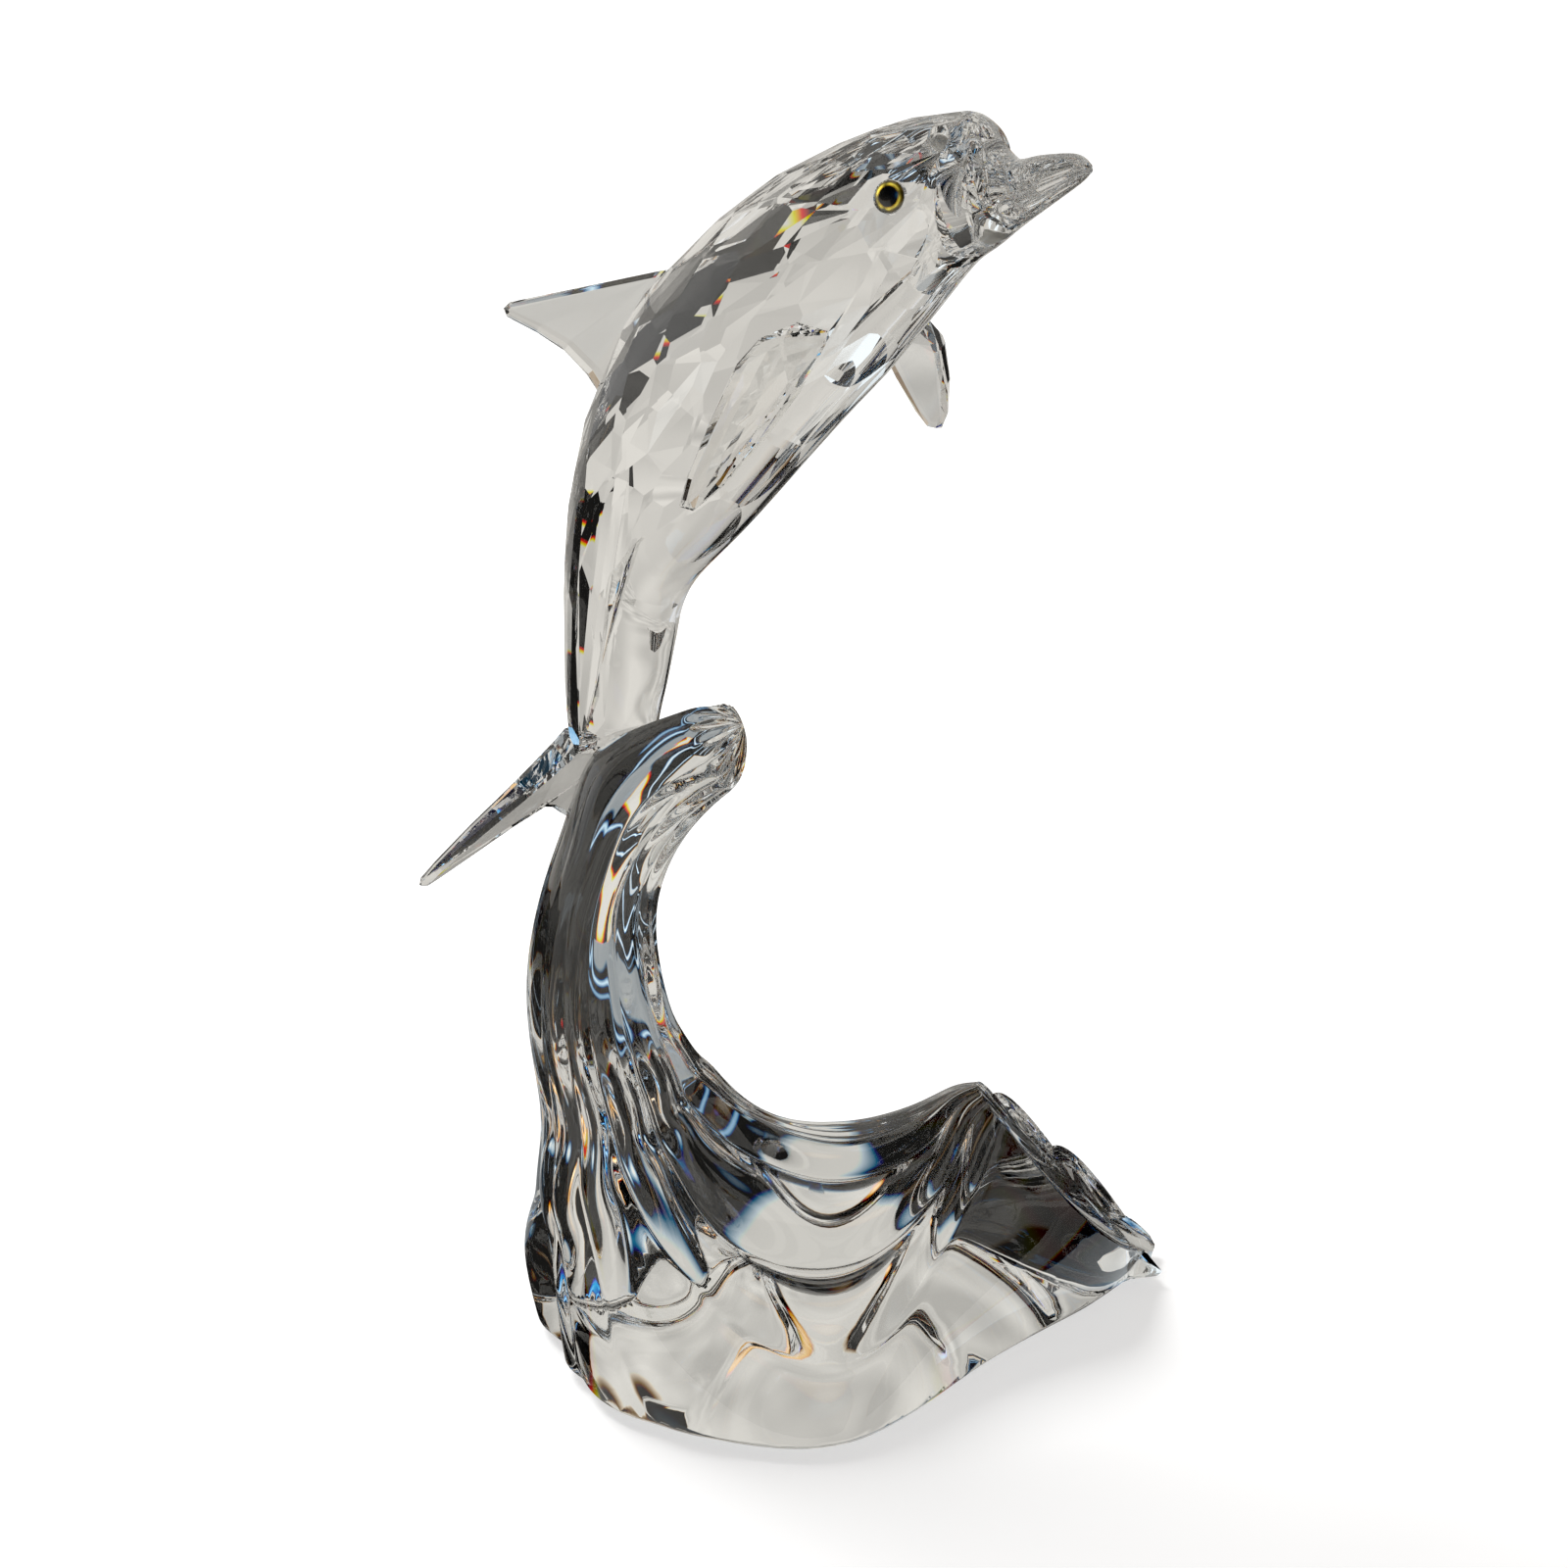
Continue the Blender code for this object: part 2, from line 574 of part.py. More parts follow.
make_body(parts, cutters, crystal, dolphin)
make_dorsal_fin(parts, crystal, dolphin)
make_flipper("right_flipper", 1, parts, crystal, dolphin)
make_flipper("left_flipper", -1, parts, crystal, dolphin)
make_fluke(parts, crystal, dolphin)
eye_shape("right_eye", 0.0, 1, parts, eye_glass, dolphin)
eye_shape("left_eye", 0.0, -1, parts, eye_glass, dolphin)
make_wave(parts, moulded, footprint)
make_bumpers(parts, silicone, footprint)
centre_footprint(parts, footprint)
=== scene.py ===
"""A cut-crystal dolphin that leaps from a moulded crystal wave, 20 cm tall."""

import math
import random

import bmesh
import bpy
from mathutils import Matrix, Vector


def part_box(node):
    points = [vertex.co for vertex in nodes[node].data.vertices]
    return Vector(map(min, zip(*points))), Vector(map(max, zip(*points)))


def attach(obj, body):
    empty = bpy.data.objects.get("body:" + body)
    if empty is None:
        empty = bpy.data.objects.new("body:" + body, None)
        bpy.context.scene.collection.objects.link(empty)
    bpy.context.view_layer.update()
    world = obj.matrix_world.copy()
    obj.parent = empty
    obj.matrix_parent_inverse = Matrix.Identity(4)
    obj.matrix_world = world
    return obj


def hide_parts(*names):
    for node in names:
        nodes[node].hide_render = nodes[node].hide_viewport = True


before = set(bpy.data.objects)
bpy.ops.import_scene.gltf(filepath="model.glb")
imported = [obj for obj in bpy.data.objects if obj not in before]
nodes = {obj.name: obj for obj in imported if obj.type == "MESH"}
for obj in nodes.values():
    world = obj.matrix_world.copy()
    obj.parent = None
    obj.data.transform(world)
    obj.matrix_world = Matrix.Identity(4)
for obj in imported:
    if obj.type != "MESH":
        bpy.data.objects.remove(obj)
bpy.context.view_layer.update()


# Bumper feet
# Clear silicone dots, a low dome stuck by its flat face under the foot of the wave. They
# keep the crystal off the shelf, and show as small bright beads along its lower edge.
MM = 0.001
BUMPER_RADIUS = 2.6 * MM
BUMPER_FACE_RADIUS = 2.0 * MM
BUMPER_EDGE = 0.1 * MM
BUMPER_DOME_SHARE = 0.65
BUMPER_CURVE_STEPS = 8
BUMPER_SPIN_STEPS = 40
SILICONE_IOR = 1.41
SILICONE_RIPPLE_SIZE = 2.0 * MM
SILICONE_RIPPLE_DEPTH = 0.01 * MM


def linear(code):
    """The linear colour of an sRGB hex value such as #C4C2BE."""
    channels = [int(code[i:i + 2], 16) / 255 for i in (1, 3, 5)]
    return [c / 12.92 if c <= 0.04045 else ((c + 0.055) / 1.055) ** 2.4 for c in channels]


def add(tree, kind, inputs=None, **settings):
    """Adds a node with its settings; an input that is a socket is linked."""
    made = tree.nodes.new(kind)
    for key, value in settings.items():
        setattr(made, key, value)
    for key, value in (inputs or {}).items():
        if isinstance(value, bpy.types.NodeSocket):
            tree.links.new(value, made.inputs[key])
        else:
            made.inputs[key].default_value = value
    return made


def clear_glass(name, colour, ior, ripple_size, ripple_depth):
    """Clear glass or silicone whose skin keeps a faint ripple of a given size and depth."""
    material = bpy.data.materials.new(name)
    material.use_nodes = True
    tree = material.node_tree
    shader = tree.nodes["Principled BSDF"]
    shader.inputs["Base Color"].default_value = (*linear(colour), 1)
    shader.inputs["Roughness"].default_value = 0
    shader.inputs["IOR"].default_value = ior
    shader.inputs["Transmission Weight"].default_value = 1
    place = add(tree, "ShaderNodeTexCoord")
    ripple = add(tree, "ShaderNodeTexNoise",
                 {"Vector": place.outputs["Object"], "Scale": 1 / ripple_size, "Detail": 1.0})
    bump = add(tree, "ShaderNodeBump",
               {"Height": ripple.outputs["Fac"], "Distance": ripple_depth, "Strength": 1.0})
    tree.links.new(bump.outputs["Normal"], shader.inputs["Normal"])
    return material


def finished(name, bm, material, node):
    """Makes a bmesh the piece that stands for a CAD node."""
    mesh = bpy.data.meshes.new(name)
    bm.to_mesh(mesh)
    bm.free()
    mesh.materials.append(material)
    piece = bpy.data.objects.new(name, mesh)
    bpy.context.scene.collection.objects.link(piece)
    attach(piece, "root")
    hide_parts(node)
    return piece


def spun(profile, steps):
    """Spins a profile of radius and height, given from the top down, about Z."""
    bm = bmesh.new()
    verts = [bm.verts.new((radius, 0, height)) for radius, height in profile]
    edges = [bm.edges.new(pair) for pair in zip(verts, verts[1:])]
    bmesh.ops.spin(bm, geom=verts + edges, cent=(0, 0, 0), axis=(0, 0, 1), dvec=(0, 0, 0),
                   angle=math.tau, steps=steps, use_merge=True, use_duplicate=False)
    bmesh.ops.remove_doubles(bm, verts=bm.verts, dist=1e-6)
    bmesh.ops.recalc_face_normals(bm, faces=bm.faces)
    for face in bm.faces:
        face.smooth = True
    return bm


# Soft silicone from a mould: it bends light less than crystal, and its skin is a little uneven
silicone = clear_glass("moulded_silicone", "#EEEEEC", SILICONE_IOR,
                       SILICONE_RIPPLE_SIZE, SILICONE_RIPPLE_DEPTH)
for number in range(1, 5):
    low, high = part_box(f"bumper_foot_{number}")
    middle = (low + high) / 2
    height = high.z - low.z
    dome_height = height * BUMPER_DOME_SHARE
    quarter = [math.radians(90 * k / BUMPER_CURVE_STEPS) for k in range(BUMPER_CURVE_STEPS + 1)]
    dome = [(BUMPER_FACE_RADIUS + (BUMPER_RADIUS - BUMPER_FACE_RADIUS) * math.cos(turn),
             dome_height * (1 - math.sin(turn))) for turn in quarter]
    glued_face = [(0, height), (BUMPER_RADIUS - BUMPER_EDGE, height)]
    bumper = spun(glued_face + dome + [(0, 0)], BUMPER_SPIN_STEPS)
    bmesh.ops.translate(bumper, verts=bumper.verts, vec=(middle.x, middle.y, low.z))
    finished(f"clear_bumper_{number}", bumper, silicone, f"bumper_foot_{number}")


# Wave
# One casting of lead crystal, pressed in a mould and fire polished. Ridges fan down from
# the crest about a level axis, with hollows between them, and the foot is ground flat.
WAVE_TURN = math.radians(35)
WAVE_AXIS_RUN = 9 * MM
WAVE_AXIS_HEIGHT = 66 * MM
WAVE_STATIONS = (
    (120.0, ((34.4, 13.0), (35.2, 8.5), (37.5, 5.5), (41.2, 4.6), (45.0, 5.8), (47.8, 9.0),
             (48.8, 12.5), (48.0, 16.0), (45.6, 19.5), (41.5, 20.5), (36.8, 17.6))),
    (136.0, ((33.0, 13.0), (35.0, 7.0), (38.0, 3.5), (42.0, 2.5), (46.0, 4.0), (49.2, 8.0),
             (50.5, 12.5), (49.5, 17.0), (46.0, 21.0), (41.0, 22.5), (36.0, 19.0))),
    (155.0, ((31.0, 14.0), (33.5, 7.0), (36.5, 3.5), (39.5, 2.0), (43.0, 3.0), (45.5, 6.5),
             (47.0, 12.0), (46.0, 18.5), (42.5, 23.0), (37.5, 24.0), (33.0, 20.0))),
    (180.0, ((28.0, 14.0), (30.0, 8.0), (33.5, 4.5), (38.0, 2.5), (41.5, 3.0), (45.0, 6.0),
             (47.7, 12.0), (46.0, 19.0), (42.0, 24.0), (36.0, 25.0), (30.5, 21.0))),
    (205.0, ((27.3, 15.0), (29.5, 8.0), (33.5, 2.0), (39.0, -1.0), (43.5, 0.0), (48.0, 4.5),
             (51.0, 12.0), (50.0, 20.0), (44.5, 27.0), (37.0, 29.0), (31.0, 24.0))),
    (218.0, ((28.0, 17.0), (31.0, 9.0), (35.7, 1.0), (41.8, -3.0), (49.5, -2.5), (56.0, 3.5),
             (59.0, 12.0), (58.0, 23.0), (51.0, 30.5), (41.0, 31.0), (32.5, 25.5))),
    (228.0, ((28.5, 19.0), (32.0, 10.0), (37.5, 0.0), (44.2, -5.0), (55.0, -5.0), (63.0, 3.0),
             (66.5, 13.0), (74.0, 31.0), (57.0, 34.0), (45.0, 33.5), (34.0, 27.0))),
    (250.0, ((31.3, 22.5), (35.5, 15.0), (44.5, 1.0), (50.5, -9.0), (72.0, -12.5), (88.0, 0.0),
             (94.0, 12.0), (91.0, 32.0), (70.0, 40.0), (52.0, 37.0), (38.0, 30.0))),
    (270.0, ((32.3, 24.0), (37.5, 17.0), (47.0, 4.0), (55.5, -12.0), (72.0, -15.5), (90.0, -2.0),
             (95.0, 13.0), (90.0, 32.0), (68.0, 43.0), (52.0, 40.0), (38.0, 33.0))),
    (290.0, ((31.8, 24.5), (35.8, 20.0), (41.8, 14.0), (47.3, 9.0), (72.0, 11.0), (90.0, 18.0),
             (95.0, 24.0), (90.0, 36.0), (68.0, 44.0), (52.0, 41.0), (38.0, 34.0))),
    (303.0, ((31.8, 26.0), (33.4, 24.0), (36.4, 21.6), (42.0, 19.0), (79.0, 31.0), (95.0, 36.0),
             (98.0, 38.0), (92.0, 42.0), (74.0, 46.0), (54.0, 42.0), (38.0, 34.0))),
    (310.0, ((33.4, 27.5), (34.2, 26.2), (35.8, 24.8), (39.4, 23.2), (78.5, 37.5), (91.5, 39.5),
             (94.5, 40.5), (89.5, 42.5), (74.0, 43.5), (54.0, 38.0), (38.0, 31.5))),
)
FLUTE_DEPTHS = (0.23, 0.25, 0.25, 0.20, 0.13, 0.16, 0.22, 0.28, 0.28, 0.26, 0.22)
# The first hollow at the back of the stem, how deep those are there, and the stations
# between which they reach full depth
FIRST_BACK_GAP = 5
STEM_BACK_SHARE = 0.45
STEM_BLEND = (3.5, 6.0)
# The round nose of the crest: how far it bulges in degrees, its share of the mesh, its folds
NOSE_ANGLE = 9.0
NOSE_SHARE = 0.1
NOSE_FOLDS = 15
NOSE_FOLD = 0.16
# The folded face at the other end: its share of the mesh, its folds, how far it bulges in
# degrees at the folds and between them, and the depth that stays unsmoothed
END_SHARE = 0.04
END_FOLDS = 9
END_FOLD_ANGLE = 1.6
END_FOLD_LEAST = 0.35
END_EDGE_SHARE = 1 / 3
END_KEPT_DEPTH = 2.5 * MM
FIRST_BUMPER = Vector((7.0, -11.5, 0)) * MM
GLUE = 0.3 * MM
FOOT_CHAMFER = 0.7 * MM
TIP_FACET = Vector((23.9, 73.75, 0)) * MM
TIP_OUT = Vector((0.35, 0.94, 0)).normalized()
CREST_SEAT_STATION = 0.48
CREST_SEAT_RIDGE = 6
CREST_SEAT_SINK = 1.9 * MM
CREST_SEAT_UP = Vector((-0.55, 0.30, 0.78)).normalized()
WAVE_RINGS = 150
WAVE_SIDES = 264
WAVE_SMOOTHINGS = 3
CRYSTAL_IOR = 1.55
MOULD_RIPPLE_SIZE = 6.0 * MM
MOULD_RIPPLE_DEPTH = 0.02 * MM

# The first bumper shows where the figurine's footprint was centred
low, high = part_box("bumper_foot_1")
footprint = (low + high) / 2 - Matrix.Rotation(WAVE_TURN, 3, "Z") @ FIRST_BUMPER
footprint.z = 0


def spline(values, at):
    """A smooth curve through the values, read at a place counted in stations."""
    last = len(values) - 1
    at = min(max(at, 0.0), float(last))
    i = min(int(at), last - 1)
    u = at - i
    before, here, there, after = (values[min(max(i + k, 0), last)] for k in (-1, 0, 1, 2))
    return 0.5 * (2 * here + (there - before) * u
                  + (2 * before - 5 * here + 4 * there - after) * u * u
                  + (3 * here - before - 3 * there + after) * u ** 3)


def smooth_step(low, high, value):
    """A share that eases from 0 to 1 between two values."""
    u = min(max((value - low) / (high - low), 0.0), 1.0)
    return u * u * (3 - 2 * u)


def wave_point(angle, distance, across):
    """A place on the wave, from its angle and distance about the level axis."""
    turn = math.radians(angle)
    run = WAVE_AXIS_RUN + distance * math.cos(turn)
    height = WAVE_AXIS_HEIGHT + distance * math.sin(turn)
    return Matrix.Rotation(WAVE_TURN, 3, "Z") @ Vector((run, across, height)) + footprint


def wave_ridges(at):
    """Angle of one section and its ridges, each a distance and a place across."""
    angle = spline([s[0] for s in WAVE_STATIONS], at)
    ridges = [Vector((spline([s[1][k][0] for s in WAVE_STATIONS], at),
                      spline([s[1][k][1] for s in WAVE_STATIONS], at))) * MM
              for k in range(len(FLUTE_DEPTHS))]
    return angle, ridges


def fluted(ridges, round_share, at):
    """Place on a section's outline: hollows between the ridges, shallow at the stem's back."""
    gap = min(int(round_share * len(ridges)), len(ridges) - 1)
    u = round_share * len(ridges) - gap
    a = ridges[gap]
    b = ridges[(gap + 1) % len(ridges)]
    depth = FLUTE_DEPTHS[gap]
    if gap >= FIRST_BACK_GAP:
        depth *= STEM_BACK_SHARE + (1 - STEM_BACK_SHARE) * smooth_step(*STEM_BLEND, at)
    inward = Vector((b.y - a.y, a.x - b.x)) * depth
    return a.lerp(b, u) + inward * 4 * u * (1 - u)


def rolled(rings, sides, place):
    """A grid rolled into a tube: place gives a point from its share along and round."""
    bm = bmesh.new()
    bmesh.ops.create_grid(bm, x_segments=rings, y_segments=sides, size=0.5)
    for vert in bm.verts:
        vert.co = place(min(max(vert.co.x + 0.5, 0), 1), min(max(vert.co.y + 0.5, 0), 1))
    bmesh.ops.remove_doubles(bm, verts=bm.verts, dist=2e-6)
    bmesh.ops.holes_fill(bm, edges=[e for e in bm.edges if e.is_boundary], sides=0)
    bmesh.ops.recalc_face_normals(bm, faces=bm.faces)
    for face in bm.faces:
        face.smooth = len(face.verts) < 5
    return bm


def trim(bm, point, outward):
    """Grinds a flat right across and returns its face."""
    cut = bmesh.ops.bisect_plane(
        bm, geom=bm.verts[:] + bm.edges[:] + bm.faces[:], dist=1e-7,
        plane_co=point, plane_no=outward, clear_outer=True)
    rim = [e for e in cut["geom_cut"] if isinstance(e, bmesh.types.BMEdge)]
    flat = bmesh.ops.edgeloop_fill(bm, edges=rim)["faces"]
    for face in flat:
        face.smooth = False
    return flat


sections = {}


def wave_skin(along, round_share):
    """Point of the wave, from the round nose of the crest to the folded face at its end."""
    last = len(WAVE_STATIONS) - 1
    at = min(max(along - NOSE_SHARE, 0) / (1 - NOSE_SHARE - END_SHARE), 1) * last
    if at not in sections:
        sections[at] = wave_ridges(at)
    angle, ridges = sections[at]
    place = fluted(ridges, round_share, at)
    middle = sum(ridges, Vector((0, 0))) / len(ridges)
    if along < NOSE_SHARE:
        turn = math.radians(90) * (1 - along / NOSE_SHARE)
        fold = abs(math.sin(round_share * math.pi * NOSE_FOLDS)) * math.sin(2 * turn)
        place = middle + (place - middle) * math.cos(turn) * (1 - NOSE_FOLD * fold)
        angle -= NOSE_ANGLE * math.sin(turn) * (1 - NOSE_FOLD * fold)
    if along > 1 - END_SHARE:
        inner = (along - 1 + END_SHARE) / END_SHARE
        fold = abs(math.sin(round_share * math.pi * END_FOLDS))
        place = place.lerp(middle, inner)
        crease = END_FOLD_LEAST + (1 - END_FOLD_LEAST) * fold * (1 - inner)
        angle -= END_FOLD_ANGLE * min(inner / END_EDGE_SHARE, 1) * crease
    return wave_point(angle, place.x, place.y)


wave = rolled(WAVE_RINGS, WAVE_SIDES, wave_skin)
end_angle = WAVE_STATIONS[-1][0]
end_point = wave_point(end_angle, 0, 0)
end_out = wave_point(end_angle + 90, 1, 0) - end_point
end_places = {vert: vert.co.copy() for vert in wave.verts
              if (vert.co - end_point).dot(end_out) > -END_KEPT_DEPTH}
for _ in range(WAVE_SMOOTHINGS):
    bmesh.ops.smooth_vert(wave, verts=wave.verts, factor=0.5, use_axis_x=True, use_axis_y=True,
                          use_axis_z=True)
for vert, place in end_places.items():
    vert.co = place
angle, ridges = wave_ridges(CREST_SEAT_STATION)
ridge = ridges[CREST_SEAT_RIDGE]
crest_seat = wave_point(angle, ridge.x - CREST_SEAT_SINK, ridge.y)
trim(wave, crest_seat - CREST_SEAT_UP * GLUE, CREST_SEAT_UP)
trim(wave, TIP_FACET + footprint, TIP_OUT)
wave_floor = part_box("wave_base")[0].z
foot = trim(wave, Vector((0, 0, wave_floor + FOOT_CHAMFER)), Vector((0, 0, -1)))
lowered = bmesh.ops.extrude_face_region(wave, geom=foot)
rim = [vert for vert in lowered["geom"] if isinstance(vert, bmesh.types.BMVert)]
middle = sum((vert.co for vert in rim), Vector()) / len(rim)
for vert in rim:
    vert.co += (middle - vert.co).normalized() * FOOT_CHAMFER - Vector((0, 0, FOOT_CHAMFER))
upper = [face for face in foot
         if face.is_valid and face.calc_center_median().z > wave_floor + FOOT_CHAMFER / 2]
bmesh.ops.delete(wave, geom=upper, context="FACES_KEEP_BOUNDARY")
bmesh.ops.recalc_face_normals(wave, faces=wave.faces)
# Lead crystal, fire polished: clear and almost colourless, with a mould's long soft ripple
moulded_crystal = clear_glass("fire_polished_lead_crystal", "#F8F9F8", CRYSTAL_IOR,
                              MOULD_RIPPLE_SIZE, MOULD_RIPPLE_DEPTH)
finished("crystal_wave", wave, moulded_crystal, "wave_base")


# Dolphin body
# One block of lead crystal with the beak, head and tail in one. A wheel grinds flat facets
# over its back and flanks, while the face and the belly are polished smooth.
BODY_STATIONS = (
    ((70.2, 87.6), (70.7, 86.2), 1.1),
    ((68.2, 88.5), (69.0, 84.6), 2.7),
    ((63.6, 88.0), (64.6, 81.4), 4.0),
    ((59.6, 87.2), (60.6, 78.5), 5.2),
    ((56.4, 89.0), (57.0, 75.6), 6.8),
    ((52.0, 91.6), (52.6, 72.2), 8.4),
    ((43.6, 90.8), (46.0, 64.5), 10.4),
    ((32.8, 86.8), (39.4, 56.8), 12.2),
    ((21.2, 80.6), (33.6, 50.8), 13.2),
    ((11.0, 72.8), (28.2, 45.1), 13.6),
    ((2.4, 64.4), (22.2, 38.5), 13.2),
    ((-4.2, 54.2), (15.4, 31.2), 12.2),
    ((-9.0, 43.2), (7.2, 23.0), 10.6),
    ((-12.2, 30.2), (4.2, 18.0), 8.8),
    ((-13.4, 18.6), (3.0, 12.8), 7.8),
    ((-14.0, 8.1), (1.6, 6.4), 7.0),
    ((-13.6, -1.9), (-0.2, -0.4), 6.4),
    ((-11.6, -11.9), (-1.4, -8.4), 6.0),
)
MOUTH_DEPTH = 0.16
MOUTH_ANGLE = 100.0
MOUTH_SPREAD = 11.5
MOUTH_END = (2.4, 3.6)
# Where the facets begin and end, in stations and in degrees from the back
CROWN_CUT_STATION = 4.5
CHEEK_CUT_STATION = 5.7
CROWN_TO_CHEEK = (35, 75)
CUT_LEAD = 0.8
LAST_CUT_STATION = 16.2
FLANK_ANGLE = 132.0
TAIL_FLANK_ANGLE = 108.0
FLANK_TO_TAIL = (10.5, 12.5)
FLANK_FADE = (-16, 6)
FACET_PITCH = 6.4 * MM
FACET_PITCH_ANGLE = 60
TAIL_FACET_STRETCH = 1.7
TAIL_STRETCH = (10.0, 15.0)
FACET_TURN = 30.0
FACET_TURN_SCATTER = 3.0
FACET_STATION_SCATTER = 0.12
FACET_ALLOWANCE = 1.3 * MM
FACET_REACH = 13.0 * MM
FACET_SEED = 7
FIN_SEAT_SINK = 0.45 * MM
FIN_SEAT_REACH = 22.0 * MM
FLUKE_STATION = 16.1
FLUKE_SEAT_SINK = 2.2 * MM
FLUKE_RUN = Vector((-0.627, 0.0, -0.779)).normalized()
DORSAL_STATION = 10.61
FLIPPER_STATION = 7.35
FLIPPER_ANGLE = 108.0
BEAK_FLAT_STATION = 1.9
BEAK_FLAT_ANGLE = 70.0
BEAK_FLAT_SINK = 0.5 * MM
BEAK_FLAT_REACH = 9.0 * MM
EYE_STATION = 5.72
EYE_ANGLE = 74.0
EYE_RADIUS = 2.1 * MM
EYE_DEPTH = 1.1 * MM
EYE_CLEARANCE = 0.1 * MM
BODY_RINGS = 102
BODY_SIDES = 64
POLISH_RIPPLE_SIZE = 5.0 * MM
POLISH_RIPPLE_DEPTH = 0.002 * MM


def first_cut(angle):
    """Station where the facets begin: further forward on the crown than on the cheek."""
    share = smooth_step(*CROWN_TO_CHEEK, abs(angle))
    return CROWN_CUT_STATION + (CHEEK_CUT_STATION - CROWN_CUT_STATION) * share


def lowest_cut(at):
    """Angle where the facets give way to the smooth belly."""
    return FLANK_ANGLE + (TAIL_FLANK_ANGLE - FLANK_ANGLE) * smooth_step(*FLANK_TO_TAIL, at)


def body_point(at, angle, allowance=0.0):
    """Point of the body: 0 degrees is the back, 90 the right flank, 180 the belly."""
    back = Vector((spline([s[0][0] for s in BODY_STATIONS], at), 0,
                   spline([s[0][1] for s in BODY_STATIONS], at))) * MM
    belly = Vector((spline([s[1][0] for s in BODY_STATIONS], at), 0,
                    spline([s[1][1] for s in BODY_STATIONS], at))) * MM
    half_width = spline([s[2] for s in BODY_STATIONS], at) * MM
    turn = math.radians(angle)
    middle = (back + belly) / 2
    up = (back - belly) / 2
    lips = math.exp(-((abs(angle) - MOUTH_ANGLE) / MOUTH_SPREAD) ** 2)
    mouth = 1 - MOUTH_DEPTH * lips * (1 - smooth_step(*MOUTH_END, at))
    cut_zone = smooth_step(first_cut(angle) - CUT_LEAD, first_cut(angle), at)
    flank = 1 - smooth_step(lowest_cut(at) + FLANK_FADE[0], lowest_cut(at) + FLANK_FADE[1],
                            abs(angle))
    grow = allowance * cut_zone * flank
    height = up.length + grow
    side = half_width + grow
    return (crest_seat + middle + up.normalized() * height * math.cos(turn)
            - Vector((0, 1, 0)) * side * math.sin(turn) * mouth)


def body_normal(at, angle):
    """The way out of the body's surface."""
    along = body_point(at + 0.05, angle) - body_point(at - 0.05, angle)
    around = body_point(at, angle + 1) - body_point(at, angle - 1)
    return along.cross(around).normalized()


def mirrored(vector, point=False):
    """The same place or direction on the dolphin's other side."""
    return Vector((vector.x, 2 * crest_seat.y * point - vector.y, vector.z))


def each_once(items):
    """Each item once, in the order in which they come, so that every run cuts alike."""
    return list(dict.fromkeys(items))


def island_of(first, faces):
    """The faces joined to the first one through their edges."""
    left = set(faces) - {first}
    island = [first]
    for reached in island:
        for edge in reached.edges:
            for face in edge.link_faces:
                if face in left:
                    left.remove(face)
                    island.append(face)
    return island


def grind(bm, point, outward, reach, every_island=False):
    """Grinds one facet and touches nothing further off than its reach."""
    near = [f for f in bm.faces if any((v.co - point).length < reach for v in f.verts)]
    verts = each_once(v for f in near for v in f.verts)
    edges = each_once(e for f in near for e in f.edges)
    if all((v.co - point).dot(outward) < 1e-7 for v in verts):
        return
    bmesh.ops.bisect_plane(bm, geom=verts + edges + near, dist=1e-7,
                           plane_co=point, plane_no=outward)

    def proud(face):
        middle = face.calc_center_median()
        flat = all((v.co - point).dot(outward) > -2e-7 for v in face.verts)
        return flat and (middle - point).dot(outward) > 1e-8 and (middle - point).length < reach

    waste = [f for f in bm.faces if proud(f)]
    while waste:
        highest = max(waste, key=lambda f: (f.calc_center_median() - point).dot(outward))
        island = island_of(highest, waste)
        waste = [f for f in waste if f not in island] if every_island else []
        rim = each_once(e for f in island for e in f.edges
                        if any(g not in island for g in e.link_faces))
        bmesh.ops.delete(bm, geom=island, context="FACES_KEEP_BOUNDARY")
        for flat in bmesh.ops.edgeloop_fill(bm, edges=rim)["faces"]:
            flat.smooth = False


def facet_places():
    """Staggered rows of facets, a pitch apart down the back and flanks."""
    dice = random.Random(FACET_SEED)
    at = CROWN_CUT_STATION
    row = 0
    places = []
    while at < LAST_CUT_STATION:
        angle = FACET_TURN / 2 * (row % 2)
        while angle < lowest_cut(at):
            turn = angle + dice.uniform(-1, 1) * FACET_TURN_SCATTER * (angle > 0)
            spot = at + dice.uniform(-1, 1) * FACET_STATION_SCATTER
            if spot > first_cut(turn):
                places.append((spot, turn))
                if turn:
                    places.append((spot, -turn))
            angle += FACET_TURN
        ahead = body_point(at + 0.1, FACET_PITCH_ANGLE)
        station_length = (ahead - body_point(at, FACET_PITCH_ANGLE)).length / 0.1
        stretch = 1 + (TAIL_FACET_STRETCH - 1) * smooth_step(*TAIL_STRETCH, at)
        at += FACET_PITCH * stretch / station_length
        row += 1
    return places


def fin_seat(at, angle):
    """Flat ground for a fin: a point on it and the way out."""
    outward = body_normal(at, angle)
    return body_point(at, angle) - outward * FIN_SEAT_SINK, outward


